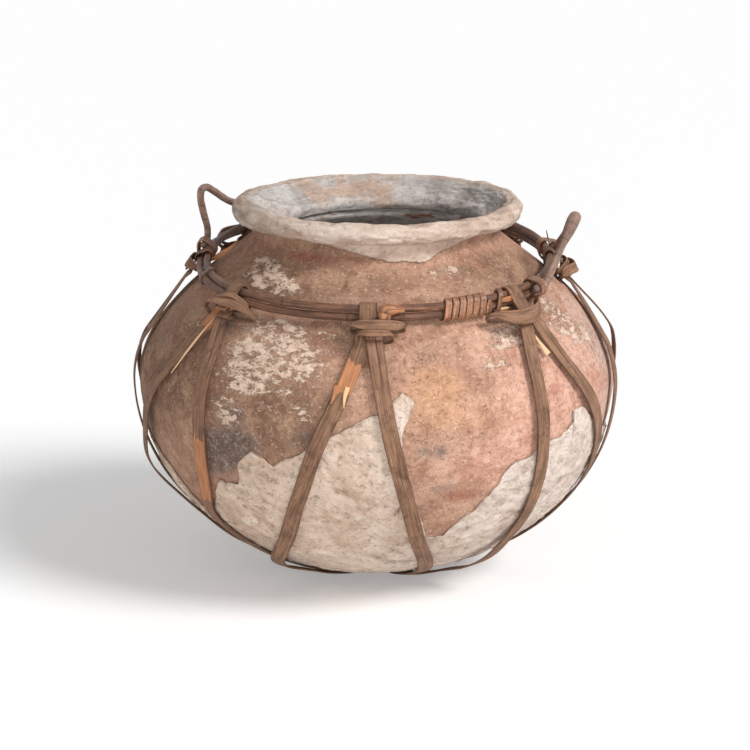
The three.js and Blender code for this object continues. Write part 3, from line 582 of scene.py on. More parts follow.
def makeMudCoat(material):
    # Each column climbs the wall to its own point of the edge. The outer face stands off by the thickness,
    # which thins towards the broken edge and carries drag marks and pits; the inner face lies on the clay.
    count, rows, span, rim = (mudCoat[key] for key in ("columns", "rows", "meanSpan", "rim"))
    edge = mudEdge(count)
    share = np.linspace(0, 1, rows)[:, None]
    # Just under the edge a column draws in to the least azimuth that the edge to its right still has, so that an
    # overhanging tongue keeps its shape; low down its azimuth is the mean of its neighbours' over a span
    drawnIn = np.minimum.accumulate(edge[::-1, 0])[::-1]
    wrapped = np.concatenate([edge[-span:, 0] - 360, edge[:, 0], edge[:span, 0] + 360])
    evenAzimuth = np.convolve(wrapped, np.ones(2 * span + 1) / (2 * span + 1), "valid")[None]
    climb = (1 - share) ** mudCoat["climb"]
    fallen = (edge[None, :, 1] - mudCoat["low"]) * climb
    azimuth = edge[None, :, 0] + (drawnIn - edge[:, 0])[None] * ease(*mudCoat["drawIn"], fallen)
    azimuth = evenAzimuth + (azimuth - evenAzimuth) * ease(*mudCoat["evenOut"], share)
    height = mudCoat["low"] + (edge[None, :, 1] - mudCoat["low"]) * (1 - climb)
    base = polar(azimuth, wallRadius(height), height)
    below = edge[None, :, 1] - height
    thick = mudCoat["edgeThickness"] + (mudCoat["thickness"] - mudCoat["edgeThickness"]) * ease(0, 26, below)
    tilted = base @ np.array([[1, 0, 0.5], [0, 1, 0], [-0.5, 0, 1]])
    swept = base @ np.array([[0.94, 0, -0.34], [0, 1, 0], [0.34, 0, 0.94]])
    relief = (0.50 * layeredNoise(base, 26, 3, 5) + 0.62 * softNoise(tilted, [15, 15, 4.8], 13)
              + 0.58 * softNoise(swept, [11, 11, 4.0], 97) * ease(-0.2, 0.4, softNoise(base, 48, 99))
              + 0.52 * softNoise(base, 6.0, 29))
    pits = (1.3 * pitDepth(base, 9, 57, 0.26) - 1.3 * pitDepth(base, 6, 41, 0.30)
            - 1.5 * pitDepth(base, 12, 47, 0.12))
    raised = np.clip(0.5 + 0.4 * relief + 0.16 * pits, 0, 1)
    relief = (relief + pits) * (0.45 + 0.55 * ease(0, 6, below))
    outer = np.clip(thick - 0.2 + relief, 0.6, mudCoat["thickest"])
    outer[0] = mudCoat["seat"] + 0.05
    faces = [polar(azimuth, *offWall(height, outer))]
    for level in rim:  # the broken edge drops through the coat's thickness
        lift = mudCoat["seat"] + (outer[-1:] - mudCoat["seat"]) * level
        faces.append(polar(azimuth[-1:], *offWall(height[-1:] + 0.2 * (1 - level), lift)))
    back = np.linspace(rows - 1, 0, mudCoat["innerRows"]).astype(int)
    faces.append(polar(azimuth[back], *offWall(height[back], mudCoat["seat"] + 0 * azimuth[back])))
    nearEdge = [1 - ease(0, 2.6, below), np.ones((len(rim), count)), np.zeros((len(back), count))]
    raised = [raised, np.full((len(rim) + len(back), count), 0.5)]
    makePiece("baseMudCoat", np.concatenate(faces), material, replaces=("base_mud_coat",), ring=True,
              layers={"edge": np.concatenate(nearEdge), "raised": np.concatenate(raised)})


def mudMaterial():
    w = Wiring("driedMud")
    cloudy, fine = w.grain(26, 7, 0.70, 0.4), w.grain(170, 8, 0.78, 0.3)
    dragged = w.noise(w.placed((1, 1, 3.4), 38), 70, 8, 0.78, 1.3)
    swept = w.noise(w.placed((0.34, 0.34, 1), -48), 240, 6, 0.74, 1.2)
    side = w.add("ShaderNodeSeparateXYZ", {0: w.place}).outputs
    # Ochre on the left, chalky towards the right and below, where the lime in it shows
    w.colour = w.blend((cloudy, 0.36, 0.64), (218, 188, 164), (244, 218, 196))
    w.paint((w.sum(side["X"], w.about(cloudy, 0.16)), -0.07, 0.11),
            w.blend((cloudy, 0.37, 0.63), (222, 202, 189), (248, 234, 224)), 0.75)
    w.paint((side["Z"], 0.07, 0.03), (238, 220, 206), 0.5)
    # Strokes of the hand, lumps and hollows of the relief, brown stains, pores and straw
    w.paint((dragged, 0.52, 0.64), (242, 226, 210), 0.5)
    w.paint((dragged, 0.47, 0.36), (166, 137, 115), 0.6)
    w.paint((swept, 0.57, 0.66), (246, 232, 216), 0.45)
    w.paint((swept, 0.43, 0.34), (158, 128, 106), 0.4)
    raised = w.sum(w.layer("raised"), w.about(fine, 0.7))
    w.paint((raised, 0.44, 0.0), (150, 120, 100), 0.5)
    w.paint((raised, 0.58, 0.95), (252, 238, 224), 0.55)
    w.paint((w.grain(15, 5, 0.66), 0.55, 0.70), (176, 142, 118), 0.38)
    w.paint((fine, 0.48, 0.34), (134, 107, 89), 0.55)
    pore = w.between(w.grain(250, 6, 0.72), 0.635, 0.68)
    w.paint(pore, (122, 95, 78), 0.55)
    w.paint((w.noise(w.placed((1, 1, 0.22), 55), 300, 2, 0.5), 0.66, 0.7), (160, 122, 90), 0.5)
    # Wisps of pale fibre, and a dark line along the broken edge
    wisp = w.thinLines(w.noise(w.placed((0.5, 0.5, 1), -20), 110, 4, 0.6, 2.2), 0.002, 0.012)
    wispShare = w.times(wisp, w.between(w.grain(22, 3), 0.46, 0.6))
    w.paint(wispShare, (252, 240, 226), 0.75)
    brokenEdge = w.times(w.between(w.layer("edge"), 0.86, 1.0), w.between(w.grain(60, 3), 0.40, 0.58))
    w.paint(brokenEdge, (98, 72, 58), 0.8)
    height = w.weighed((fine, 1.3), (dragged, 1.0), (swept, 0.7), (pore, -0.5), (wispShare, 0.3))
    return w.finish(w.sum(0.86, w.times(fine, 0.1)), w.bump(height, 0.0012), 0.16)


makeMudCoat(mudMaterial())
print("mud coat made")


# The coat on the lip
lipCoat = {
    "columns": 640, "neckRows": 24, "rows": 92, "backRows": 20, "backNeckRows": 6, "gap": 0.2, "thickness": 1.35,
    "perDegree": 1.85,
    # The roll's first and last angle, and the slope to the throat as [radius, height, growth of each with the coat]
    "roll": (-146, 112), "slope": [(100.4, 296.4, 0, 1), (94.0, 291.9, 0, 1), (87.0, 287.4, 0, 1),
                                   (81.4, 283.8, -0.6, 0.8), (79.2, 281.0, -0.9, 0), (79.6, 277.6, -0.7, 0)],
    # Its lower edge as [azimuth, height]: a tongue down the neck in front, and elsewhere in the crook
    "edge": [(-180, 283.6), (-125, 283.0), (-112, 280.0), (-104, 276.5), (-99, 273.5), (-93.5, 271.4), (-88, 270.5),
             (-82.5, 269.9), (-78, 269.0), (-73.5, 268.3), (-69, 269.3), (-65, 271.5), (-60, 274.0), (-55, 277.0),
             (-48, 281.0), (-40, 283.0), (-28, 283.8), (60, 282.6), (84, 281.6), (110, 283.0), (180, 283.6)],
}


def neckLine(height):  # radius of the clay from the shoulder to the crook under the lip
    crook = np.array([(jar["neckRadius"], jar["neckHeight"]), *jar["crook"]])
    return np.where(height < jar["neckHeight"], wallRadius(height), np.interp(height, crook[:, 1], crook[:, 0]))


def makeLipCoat(material):
    # Each column climbs the neck from its point of the lower edge to the crook, then rolls over the lip and slopes
    # down to the throat. The outside is pushed out along its normals by strokes dragged round the lip, by lumps
    # and by pits; the inside lies on the clay.
    columns, neckRows, rows = lipCoat["columns"], lipCoat["neckRows"], lipCoat["rows"]
    azimuth = np.linspace(-180, 180, columns, endpoint=False)[None]
    edge = np.array(lipCoat["edge"], float)
    lowest = smoothAt(edge[:, 0], edge[:, 1], azimuth[0])
    lowest = lowest + layeredNoise(polar(azimuth[0], 98, 270), 9, 4, 91) * ease(284, 280, lowest)
    top = jar["crook"][-1][1]

    def profileAt(growth, count):
        roll = arc((jar["lipRadius"], jar["lipHeight"]), jar["lipRoll"] + growth, *lipCoat["roll"], 30)
        slope = np.array(lipCoat["slope"])
        slope = slope[:, :2] + growth * slope[:, 2:]
        return resample(throughPoints(np.concatenate([roll, slope]), 0.25), count)

    def neckAt(growth, count):
        share = np.linspace(0, 1, count)[:, None]
        height = lowest[None] + (top - lowest[None]) * share
        return neckLine(height) + growth, height

    thick = lipCoat["gap"] + lipCoat["thickness"]
    line = profileAt(thick, rows)
    neckRadius, neckHeight = neckAt(thick, neckRows)
    above = neckHeight - lowest
    neckRadius = neckRadius - (thick - 0.5) * (1 - ease(-0.4, 2.4, above))
    radius = np.concatenate([neckRadius, line[:, :1] + 0 * azimuth])
    height = np.concatenate([neckHeight, line[:, 1:] + 0 * azimuth])
    out = np.concatenate([np.tile([[1.0, 0.0]], (neckRows, 1)), normalsOf(line)])
    step = np.arange(neckRows + rows)[:, None] - neckRows
    funnel = ease(0.42, 0.54, step / rows)
    base = polar(azimuth, radius, height)
    # Unrolled places round the lip, slanting up and down, for the strokes of the hand
    turned, crossed = (stacked(azimuth * lipCoat["perDegree"], radius, height + azimuth * slant)
                       for slant in (0.22, -0.35))
    relief = (0.80 * softNoise(base, 52, 7) + 0.60 * layeredNoise(base, 19, 2, 19)
              + 1.00 * softNoise(turned, [17, 3.8, 3.8], 37)
              + 0.62 * softNoise(turned, [9, 2.2, 2.2], 43)
              + 0.34 * softNoise(crossed, [14, 2.8, 2.8], 47) * funnel + 0.26 * softNoise(base, 3.4, 61)
              - 0.9 * pitDepth(base, 9, 53, 0.24) + 0.7 * pitDepth(base, 6, 59, 0.14))
    lift = np.concatenate([0.8 * ease(0.2, 2.4, above), 0.8 + 0.2 * ease(0, 9, step[neckRows:]) + 0 * azimuth])
    lift = lift * (1 - 0.6 * ease(rows - 6, rows - 1, step))
    # The funnel swells and sinks, so that its edge wavers
    relief = relief * lift + funnel * 0.9 * ease(0, 4, rows - 1 - step) * softNoise(base, 30, 67)
    radius = radius + out[:, :1] * relief
    height = height + out[:, 1:] * relief
    innerLine = profileAt(lipCoat["gap"], lipCoat["backRows"])[::-1]
    innerRadius, innerHeight = neckAt(lipCoat["gap"], lipCoat["backNeckRows"])
    radius = np.concatenate([radius, innerLine[:, :1] + 0 * azimuth, innerRadius[::-1]])
    height = np.concatenate([height, innerLine[:, 1:] + 0 * azimuth, innerHeight[::-1]])
    points = polar(azimuth, radius, height + lipRise(azimuth, height))
    points[..., 0] += jar["mouthAside"] * ease(104, 82, radius) * (height > 272)
    hidden = np.zeros((lipCoat["backRows"] + lipCoat["backNeckRows"], columns))
    # The crook layer marks the band under the roll where painted shade goes
    shown = {"funnel": (funnel + 0 * azimuth, 1), "crook": (ease(-9, -2, step) * ease(12, 3, step) + 0 * azimuth, 0),
             "edge": (np.concatenate([1 - ease(0, 1.2, above), np.zeros((rows, columns))]), 0),
             "raised": (np.clip(0.5 + 0.34 * relief, 0, 1), 0.5)}
    layers = {key: np.concatenate([values, hidden + behind]) for key, (values, behind) in shown.items()}
    makePiece("lipMudCoat", points, material, replaces=("lip_mud_coat",), ring=True, layers=layers)


def lipMaterial():
    w = Wiring("chalkyLip")
    cloudy, fine = w.grain(30, 6, 0.70, 0.4), w.grain(240, 6, 0.76)
    # Strokes follow the roll: the pattern runs along the piece's own wrap, turned a little
    strokes = w.noise(w.wrapped((1, 5.5, 1), 13), 150, 6, 0.74, 0.5)
    side = w.add("ShaderNodeSeparateXYZ", {0: w.place}).outputs
    w.colour = w.blend((cloudy, 0.37, 0.63), (212, 184, 165), (242, 219, 202))
    # Painted shade darkens the left side of the lip, away from the light; the back of the funnel is ashen and stained
    # orange
    w.paint((w.sum(side["X"], w.about(cloudy, 0.06)), -0.05, -0.11),
            w.blend(cloudy, (158, 137, 124), (200, 178, 163)), 0.7)
    back = w.between(w.sum(side["Y"], w.about(cloudy, 0.05)), -0.03, 0.05)
    w.paint(w.times(w.layer("funnel"), w.sum(0.2, w.times(back, 0.75))),
            w.blend((cloudy, 0.37, 0.63), (190, 182, 177), (234, 228, 224)))
    w.paint(w.times(w.between(w.grain(18, 4), 0.54, 0.66), back), (222, 172, 132), 0.55)
    w.paint((strokes, 0.54, 0.66), (240, 222, 206), 0.5)
    w.paint((strokes, 0.46, 0.34), (136, 113, 98), 0.55)
    w.paint((fine, 0.46, 0.36), (144, 120, 105), 0.26)
    raised = w.sum(w.layer("raised"), w.about(fine, 0.6))
    w.paint((raised, 0.42, 0.0), (140, 114, 98), 0.42)
    w.paint((raised, 0.60, 0.95), (250, 234, 220), 0.5)
    pore = w.between(w.grain(360, 4, 0.66), 0.63, 0.69)
    w.paint(pore, (122, 100, 86), 0.4)
    # Smoke and painted shade darken the funnel towards the throat. Painted shade, with some dirt, darkens the crook
    # under the roll, and the coat's lower edge is drawn darker.
    w.paint(w.times(w.between(side["Z"], 0.286, 0.279), w.layer("funnel")), (112, 106, 102), 0.4)
    w.paint(w.times(w.layer("crook"), w.sum(0.25, w.times(fine, 0.7))), (106, 78, 62))
    w.paint(w.layer("edge"), (112, 80, 62), 0.7)
    normal = w.bump(w.weighed((strokes, 1.2), (fine, 0.9), (pore, -0.5)), 0.0015)
    return w.finish(w.sum(0.86, w.times(fine, 0.1)), normal, 0.16)


makeLipCoat(lipMaterial())
print("lip coat made")


# The harness of split cane: a pair of rods round the shoulder, straps hitched on it, collars, lashings and handles
harness = {
    # The hoop's superellipse; the pair of rods leans inwards by [most degrees, at the azimuth]
    "halfWidth": 137.0, "halfDepth": 152.0, "squareness": 2.15, "height": 252.2, "tilt": 0.071,
    "leans": [(66.0, 175.0), (8.0, -12.0)], "rodRadius": 3.05, "rodSpacing": 6.4, "clearance": 0.4,
    "strapThickness": 1.4, "strapWidth": 13.0, "legInset": 3.1, "crossing": 2.0,
    # At each hitch: how far aside its left leg, its right leg and the turn over the hoop lie; the right leg's lift
    "asides": [(-6.6, 3.2, 2.6, 1.7), (-3.6, 3.8, -0.9, 1.7), (-6.4, 6.4, -4.4, 0.6)] + [(-7, 7, -3.4, 0)] * 5,
    "ringInner": 29.0, "ringWidth": 7.0, "ringThickness": 2.1, "ringPoints": 160,
    "collarHeight": 11.5, "collarPoints": 140, "collarCorner": 0.62, "collarThickness": 1.5,
    # The hitches as [azimuth, how far below the hoop the collar sits, half its depth]
    "hitches": [(-136.5, 15, 6.8), (-92, 16, 6.8), (-45.8, 21, 6.8), (1, 18, 6.8), (47, 16, 6.8), (92, 16, 6.8),
                (138, 18, 6.8), (179, 14, 4.8)],
    # The legs' heights, how far each has turned towards its strap's base there, and [share of a turn, height] below
    "legHeights": [195, 150, 105, 60, 27], "legLean": [0.1, 0.3, 0.52, 0.72, 0.86],
    "legSwing": [(0.8, 21), (0.55, 15), (0.2, 9.5)], "legStandoff": (4.2, 1.1), "legRows": 110,
}


def hoopCentre(azimuth):  # superellipse: radius = (|cos/w|^n + |sin/d|^n)^(-1/n), tilted down towards the front
    a = np.radians(azimuth)
    wide = np.abs(np.cos(a) / harness["halfWidth"]) ** harness["squareness"]
    deep = np.abs(np.sin(a) / harness["halfDepth"]) ** harness["squareness"]
    radius = (wide + deep) ** (-1 / harness["squareness"])
    return radius, harness["height"] + harness["tilt"] * radius * np.sin(a)


def besidePair(azimuth, across, along):  # across towards the pair's outer face, along from the lower rod to the upper
    lean = 0
    for most, at in harness["leans"]:
        lean = lean + np.radians(most) * np.maximum(0, np.cos(np.radians(azimuth - at))) ** 2
    radius, height = hoopCentre(azimuth)
    return (radius + np.cos(lean) * across - np.sin(lean) * along,
            height + np.sin(lean) * across + np.cos(lean) * along)


def nearHitch(hitch, down, out):  # a point by its distances down the shoulder and out from it
    radius, height = hoopCentre(hitch[0])
    slope = (wallRadius(height + 0.4) - wallRadius(height - 0.4)) / 0.8
    size = math.sqrt(1 + slope ** 2)
    return radius + (-slope * down + out) / size, height + (-down - slope * out) / size


def tightRound(points):  # the tightest belt round flat points: the farthest point in each of 1440 directions
    turn = np.pi + np.linspace(0, 2 * np.pi, 1441)[:-1]
    farthest = np.argmax(points @ np.stack([np.cos(turn), np.sin(turn)]), axis=0)
    return points[farthest[farthest != np.roll(farthest, 1)]]


def circle(x, y, radius, count=72):
    a = np.linspace(0, 2 * np.pi, count, endpoint=False)
    return np.stack([x + radius * np.cos(a), y + radius * np.sin(a)], 1)


def centripetal(points, spacing):  # a smooth line through the points, then evenly spaced places along it
    points = np.asarray(points, float)
    steps = np.linalg.norm(np.diff(points, axis=0), axis=1)
    points = points[np.concatenate([[True], steps > 1e-6])]
    knots = np.concatenate([[0], np.cumsum(np.sqrt(np.linalg.norm(np.diff(points, axis=0), axis=1)))])
    fine = smoothAt(knots, points, np.linspace(0, knots[-1], 6 * len(points) + 400))
    return resample(fine, max(6, int(lengthsAlong(fine)[-1] / spacing)))


def aheadOf(path, closed=False):
    return unit(np.roll(path, -1, 0) - np.roll(path, 1, 0)) if closed else unit(np.gradient(path, axis=0))


def acrossRibbon(points=26):  # where each column of a ribbon lies across it, from -1 to 1 and back
    t = np.linspace(0, np.pi, points // 2 + 1)
    return np.concatenate([-np.cos(t), np.cos(t[1:-1])])[None]


def around(path, across, aside, face, lift):  # a section at every point of a path
    return path[:, None] + across[:, None] * aside[..., None] + face[:, None] * lift[..., None]


def ribbonGrid(path, facing, width, thickness, seed, ribs=0.05, power=7.0, points=26, closed=False):
    # Flat section with rounded edges, |u|^p + |v|^p = 1, its faces ribbed lengthwise by stretched noise
    ahead = aheadOf(path, closed)
    across = unit(np.cross(facing, ahead))
    face = np.cross(ahead, across)
    half = points // 2 + 1
    u = acrossRibbon(points)
    v = (1 - np.abs(u) ** power) ** (1 / power) * np.concatenate([np.ones(half), -np.ones(half - 2)])[None]
    halfWidth, halfThick = (np.broadcast_to(size, len(path))[:, None] / 2 for size in (width, thickness))
    along = lengthsAlong(path)[:, None]
    grain = stacked(u * halfWidth / 1.5 + np.sign(v) * 40, along / 46, seed * 3.1)
    rib = ribs * (softNoise(grain, 1, seed) + 0.5 * softNoise(grain * [2.3, 1.6, 1], 1, seed + 5))
    bulge = rib * np.abs(v) * (np.abs(u) < 0.97) * np.sign(v)
    return around(path, across, u * halfWidth, face, halfThick * v + bulge)


roundAngles = np.linspace(0, 2 * np.pi, 28, endpoint=False)[None]


def roundGrid(path, facing, radius):  # a round section; radius is per row and column
    ahead = aheadOf(path)
    across = unit(np.cross(facing, ahead))
    return around(path, across, radius * np.cos(roundAngles), np.cross(ahead, across), radius * np.sin(roundAngles))


def roundGrain(along, girth):  # places on a rod's skin for its noise
    return stacked(np.cos(roundAngles) * girth, np.sin(roundAngles) * girth, along)


def caneMaterial(name, dark, light, worn, rough, specular, ticks=0.0):
    # Lengthwise fibres run along the wrap; dark grooves, worn light streaks, grime, and bare tan where it peeled
    w = Wiring(name)
    fibre = w.noise(w.wrapped((1, 0.028, 1)), 1500, 5, 0.68)
    strand = w.noise(w.wrapped((1, 0.05, 1), shift=(0.4, 0.1, 0)), 520, 4, 0.6)
    split = w.noise(w.wrapped((1, 0.014, 1), shift=(0.2, 0.7, 0)), 620, 3, 0.5)
    cloudy = w.grain(46, 5, 0.66)

    def dimmed(share):
        return tuple(level * share for level in dark)

    w.colour = w.blend((w.weighed((strand, 0.6), (cloudy, 0.4)), 0.38, 0.62), dark, light)
    w.paint((fibre, 0.52, 0.66), worn, 0.42)
    w.paint((fibre, 0.48, 0.35), dimmed(0.45), 0.6)
    w.paint((split, 0.63, 0.67), dimmed(0.32), 0.75)
    w.paint((w.grain(90, 6, 0.7), 0.54, 0.66), dimmed(0.6), 0.5)
    w.paint((w.sum(w.layer("tan"), w.about(strand, 0.9), w.about(cloudy, 0.9)), 0.42, 0.6),
            w.blend((fibre, 0.36, 0.64), (154, 98, 65), (206, 146, 104)))
    w.paint((w.sum(w.layer("tan"), w.about(fibre, 0.6)), 1.25, 1.5),
            w.blend(fibre, (214, 168, 122), (246, 210, 168)))
    # The dark layer is painted shade along the edges of straps and on the hidden half of collars, and darker node
    # grooves, scars and ties elsewhere
    w.paint(w.layer("dark"), (52, 38, 31), 0.8)
    height = w.weighed((fibre, 1.0), (strand, 0.5))
    if ticks:  # short cracks across a polished cane
        crossed = w.between(w.noise(w.wrapped((0.16, 1, 1)), 1700, 2, 0.5), 0.60, 0.68)
        w.paint(crossed, dimmed(0.42), ticks)
        height = w.sum(height, w.times(crossed, -0.7))
    return w.finish(w.sum(rough, w.times(fibre, 0.3)), w.bump(height, 0.0006, 0.8), specular)


strapCane = caneMaterial("strapCane", (110, 79, 60), (156, 117, 92), (198, 158, 127), 0.5, 0.25)
hoopCane = caneMaterial("hoopCane", (82, 55, 42), (126, 88, 67), (174, 127, 97), 0.36, 0.32)
lashingCane = caneMaterial("lashingCane", (118, 76, 54), (170, 118, 84), (226, 178, 138), 0.16, 0.6, 0.7)
handleCane = caneMaterial("handleCane", (114, 86, 72), (156, 124, 106), (194, 162, 140), 0.34, 0.5, 0.2)

# The rods of the hoop
rods = {
    "upper": {"ends": (-88.7, 268.4), "side": 1, "nodes": (-58, 12, 74, 131, 196, 243)},
    "lower": {"ends": (-60.8, 299.0), "side": -1, "nodes": (-21, 44, 108, 172, 228, 262)},
    "rows": 720, "perDegree": 2.5, "shrink": 0.12, "swelling": (0.22, 2.6), "groove": (0.34, 0.55), "stain": 0.9,
}


def bell(away, width):
    return np.exp(-(away / width) ** 2)


def makeRod(name, rod, material):
    azimuth = np.linspace(*rod["ends"], rods["rows"])
    path = polar(azimuth, *besidePair(azimuth, 0, rod["side"] * harness["rodSpacing"] / 2))
    grain = roundGrain(azimuth[:, None] / 26, 2.2)
    radius = harness["rodRadius"] - rods["shrink"] + 0.14 * softNoise(grain, 1, 7 + rod["side"])
    radius = radius + 0.07 * softNoise(grain * 2.6, 1, 9)
    dark = 0
    for node in rod["nodes"]:  # each node is a swelling with a dark groove round it
        away = np.abs(azimuth - node)[:, None] * rods["perDegree"]
        radius = radius + rods["swelling"][0] * bell(away, rods["swelling"][1])
        radius = radius - rods["groove"][0] * bell(away, rods["groove"][1])
        dark = np.maximum(dark, bell(away, rods["stain"]))
    radius = np.minimum(radius, harness["rodRadius"] + 0.2)
    tan = 0
    if rod["side"] > 0:  # the upper rod is worn lighter here and there, and next to its end
        tan = 0.5 * ease(0.1, 0.7, softNoise(path / 34, 1, 77))[:, None]
        tan = np.maximum(tan, 0.42 * ease(-68, -74, azimuth)[:, None])
    makePiece(name + "Hoop", roundGrid(path, polar(azimuth, 1, 0), radius), material,
              replaces=(name + "_hoop",), layers={"tan": tan, "dark": dark})


makeRod("upper", rods["upper"], hoopCane)
makeRod("lower", rods["lower"], hoopCane)
print("hoop made")


# The straps: azimuths of each one's two legs at the leg heights, where a leg hangs slack as (height, clear), and
# stretches where the skin peeled as (leg, lowest, highest, share)
straps = [
    {"base": -124, "down": (-133.2, -133.2, -135.6, -142, -134), "up": (-97, -103, -108.5, -117, -129),
     "upSlack": (30, 6), "bare": [(0, 88, 146, 0.8), (1, 187, 209, 0.95), (1, 209, 228, 0.42)]},
    {"base": -64, "down": (-89, -86.4, -82.8, -77.6, -70), "up": (-50.6, -50.3, -48.6, -47, -49),
     "upSlack": (30, 6), "bare": [(1, 84, 150, 0.3)]},
    {"base": -18, "down": (-39.4, -29.8, -23, -21, -21), "up": (-13.5, -16.5, -16, -14, -14),
     "bare": [(0, 150, 170, 0.3)]},
    {"base": 25, "down": (4, 9, 15, 20, 22), "downSlack": (205, 5)},
    {"base": 69}, {"base": 115}, {"base": 158},
    {"base": 194, "down": (187, 188, 188.5, 190, 191), "up": (214, 203.5, 196.5, 198, 197), "upSlack": (98, 7),
     "bare": [(1, 222, 236, 0.95)]},
]


def drawnTight(height, radius):  # least concave line over the points: the highest chord above each of them
    a, b, at = height[:, None, None], height[None, :, None], height[None, None]
    with np.errstate(divide="ignore", invalid="ignore"):
        share = (at - a) / (b - a)
        chord = radius[:, None, None] + (radius[None, :, None] - radius[:, None, None]) * share
    return np.where((share >= 0) & (share <= 1), chord, radius[None, None]).max((0, 1))


def legDownWall(top, azimuths, slack, under, lift=0):
    # A leg stands off the wall and is drawn tight over the belly; a slack one bulges by
    # clear * exp(-((level - height) / 24)^2)
    heights = np.linspace(top[2], harness["legHeights"][-1], harness["legRows"])
    low, high = harness["legStandoff"]
    standoff = low - (low - high) * ease(188, 212, heights)
    crossing = under * (1 - ease(34, 60, heights)) + lift * ease(190, 206, heights)
    radius, level = offWall(heights, standoff + crossing)
    radius[0], level[0] = top[1:]
    radius = drawnTight(level, radius)
    azimuth = smoothAt([*harness["legHeights"][::-1], top[2]], [*azimuths[::-1], top[0]], level)
    if slack:
        radius = radius + slack[1] * np.exp(-((level - slack[0]) / 24) ** 2)
    return np.stack([azimuth, radius, level], 1)


def strapStations(index):  # azimuth, radius and height along one strap, from its first collar to its second
    strap, hitches = straps[index], harness["hitches"]
    first, second = hitches[index], hitches[(index + 1) % 8]
    secondAzimuth = second[0] + (360 if index == 7 else 0)
    down = strap.get("down", [first[0] + (strap["base"] - first[0]) * share for share in harness["legLean"]])
    up = strap.get("up", [secondAzimuth + (strap["base"] - secondAzimuth) * share for share in harness["legLean"]])

    def aside(azimuth, offset, radius, height):
        return stacked(azimuth + np.degrees(offset / radius), radius, height)

    def inCollar(hitch, azimuth, offset, along, side, lift=0):
        return aside(azimuth, offset, *nearHitch(hitch, hitch[1] + along, side * (hitch[2] - inset) + lift))

    inset = harness["legInset"]
    reach = harness["collarHeight"] / 2
    _, rightLeg, _, lift = harness["asides"][index]
    leftLeg, _, loopAside, _ = harness["asides"][(index + 1) % 8]
    firstTop = inCollar(first, first[0], rightLeg, reach + 1, -1, lift)
    secondTop = inCollar(second, secondAzimuth, leftLeg, reach + 1, -1)
    thick, gap = harness["strapThickness"], harness["clearance"]
    low, high = thick / 2, thick * 1.5 + gap * 2 + harness["ringThickness"]
    curve = harness["ringInner"] - math.sqrt(harness["ringInner"] ** 2 - (harness["strapWidth"] / 2) ** 2)
    inner = harness["ringInner"] - curve - gap - low + (high - low) / 2
    outer = harness["ringInner"] + harness["ringWidth"] + thick

    def swing(azimuth, standoff):
        return np.array([[strap["base"] + (azimuth - strap["base"]) * share, *offWall(level, standoff)]
                         for share, level in harness["legSwing"]])

    turn = arc((inner, (low + high) / 2), (high - low) / 2, 90, 270, 9)
    standoff = harness["legStandoff"][0]
    stations = [
        inCollar(first, first[0], rightLeg, 0, -1, lift)[None],
        legDownWall(firstTop, down, strap.get("downSlack"), 0, lift), swing(down[-1], standoff),
        [[strap["base"], outer, high]],
        np.concatenate([np.full((9, 1), strap["base"]), turn], 1), [[strap["base"], outer, low]],
        swing(up[-1], standoff + harness["crossing"])[::-1],
        legDownWall(secondTop, up, strap.get("upSlack"), harness["crossing"])[::-1],
        inCollar(second, secondAzimuth, leftLeg, 0, -1)[None],
    ]
    # Over the pair of rods like a tight belt and down its face into the collar again
    belt = harness["rodRadius"] + gap + thick / 2
    degreesPerMm = 1 / hoopCentre(second[0])[0] / math.radians(1)
    edges = [second[0] + (loopAside + end * harness["strapWidth"] / 2) * degreesPerMm for end in (-1, 1)]
    corners = [circle(*besidePair(edge, 0, side * harness["rodSpacing"] / 2), belt)
               for edge in edges for side in (-1, 1)]
    start = np.array(nearHitch(second, second[1] - reach - 1, inset - second[2]))
    end = np.array(nearHitch(second, second[1] - reach, second[2] - inset))
    hull = tightRound(np.concatenate([*corners, start[None], end[None]]))[::-1]
    hull = np.roll(hull, -int(np.argmin(np.linalg.norm(hull - start, axis=1))), axis=0)
    hull = hull[:int(np.argmin(np.linalg.norm(hull - end, axis=1))) + 1]
    stations.append(aside(secondAzimuth, loopAside, hull[:, 0], hull[:, 1]))
    stations.append(inCollar(second, secondAzimuth, loopAside, harness["collarHeight"] / 3, 1)[None])
    return np.concatenate([np.asarray(part, float) for part in stations])


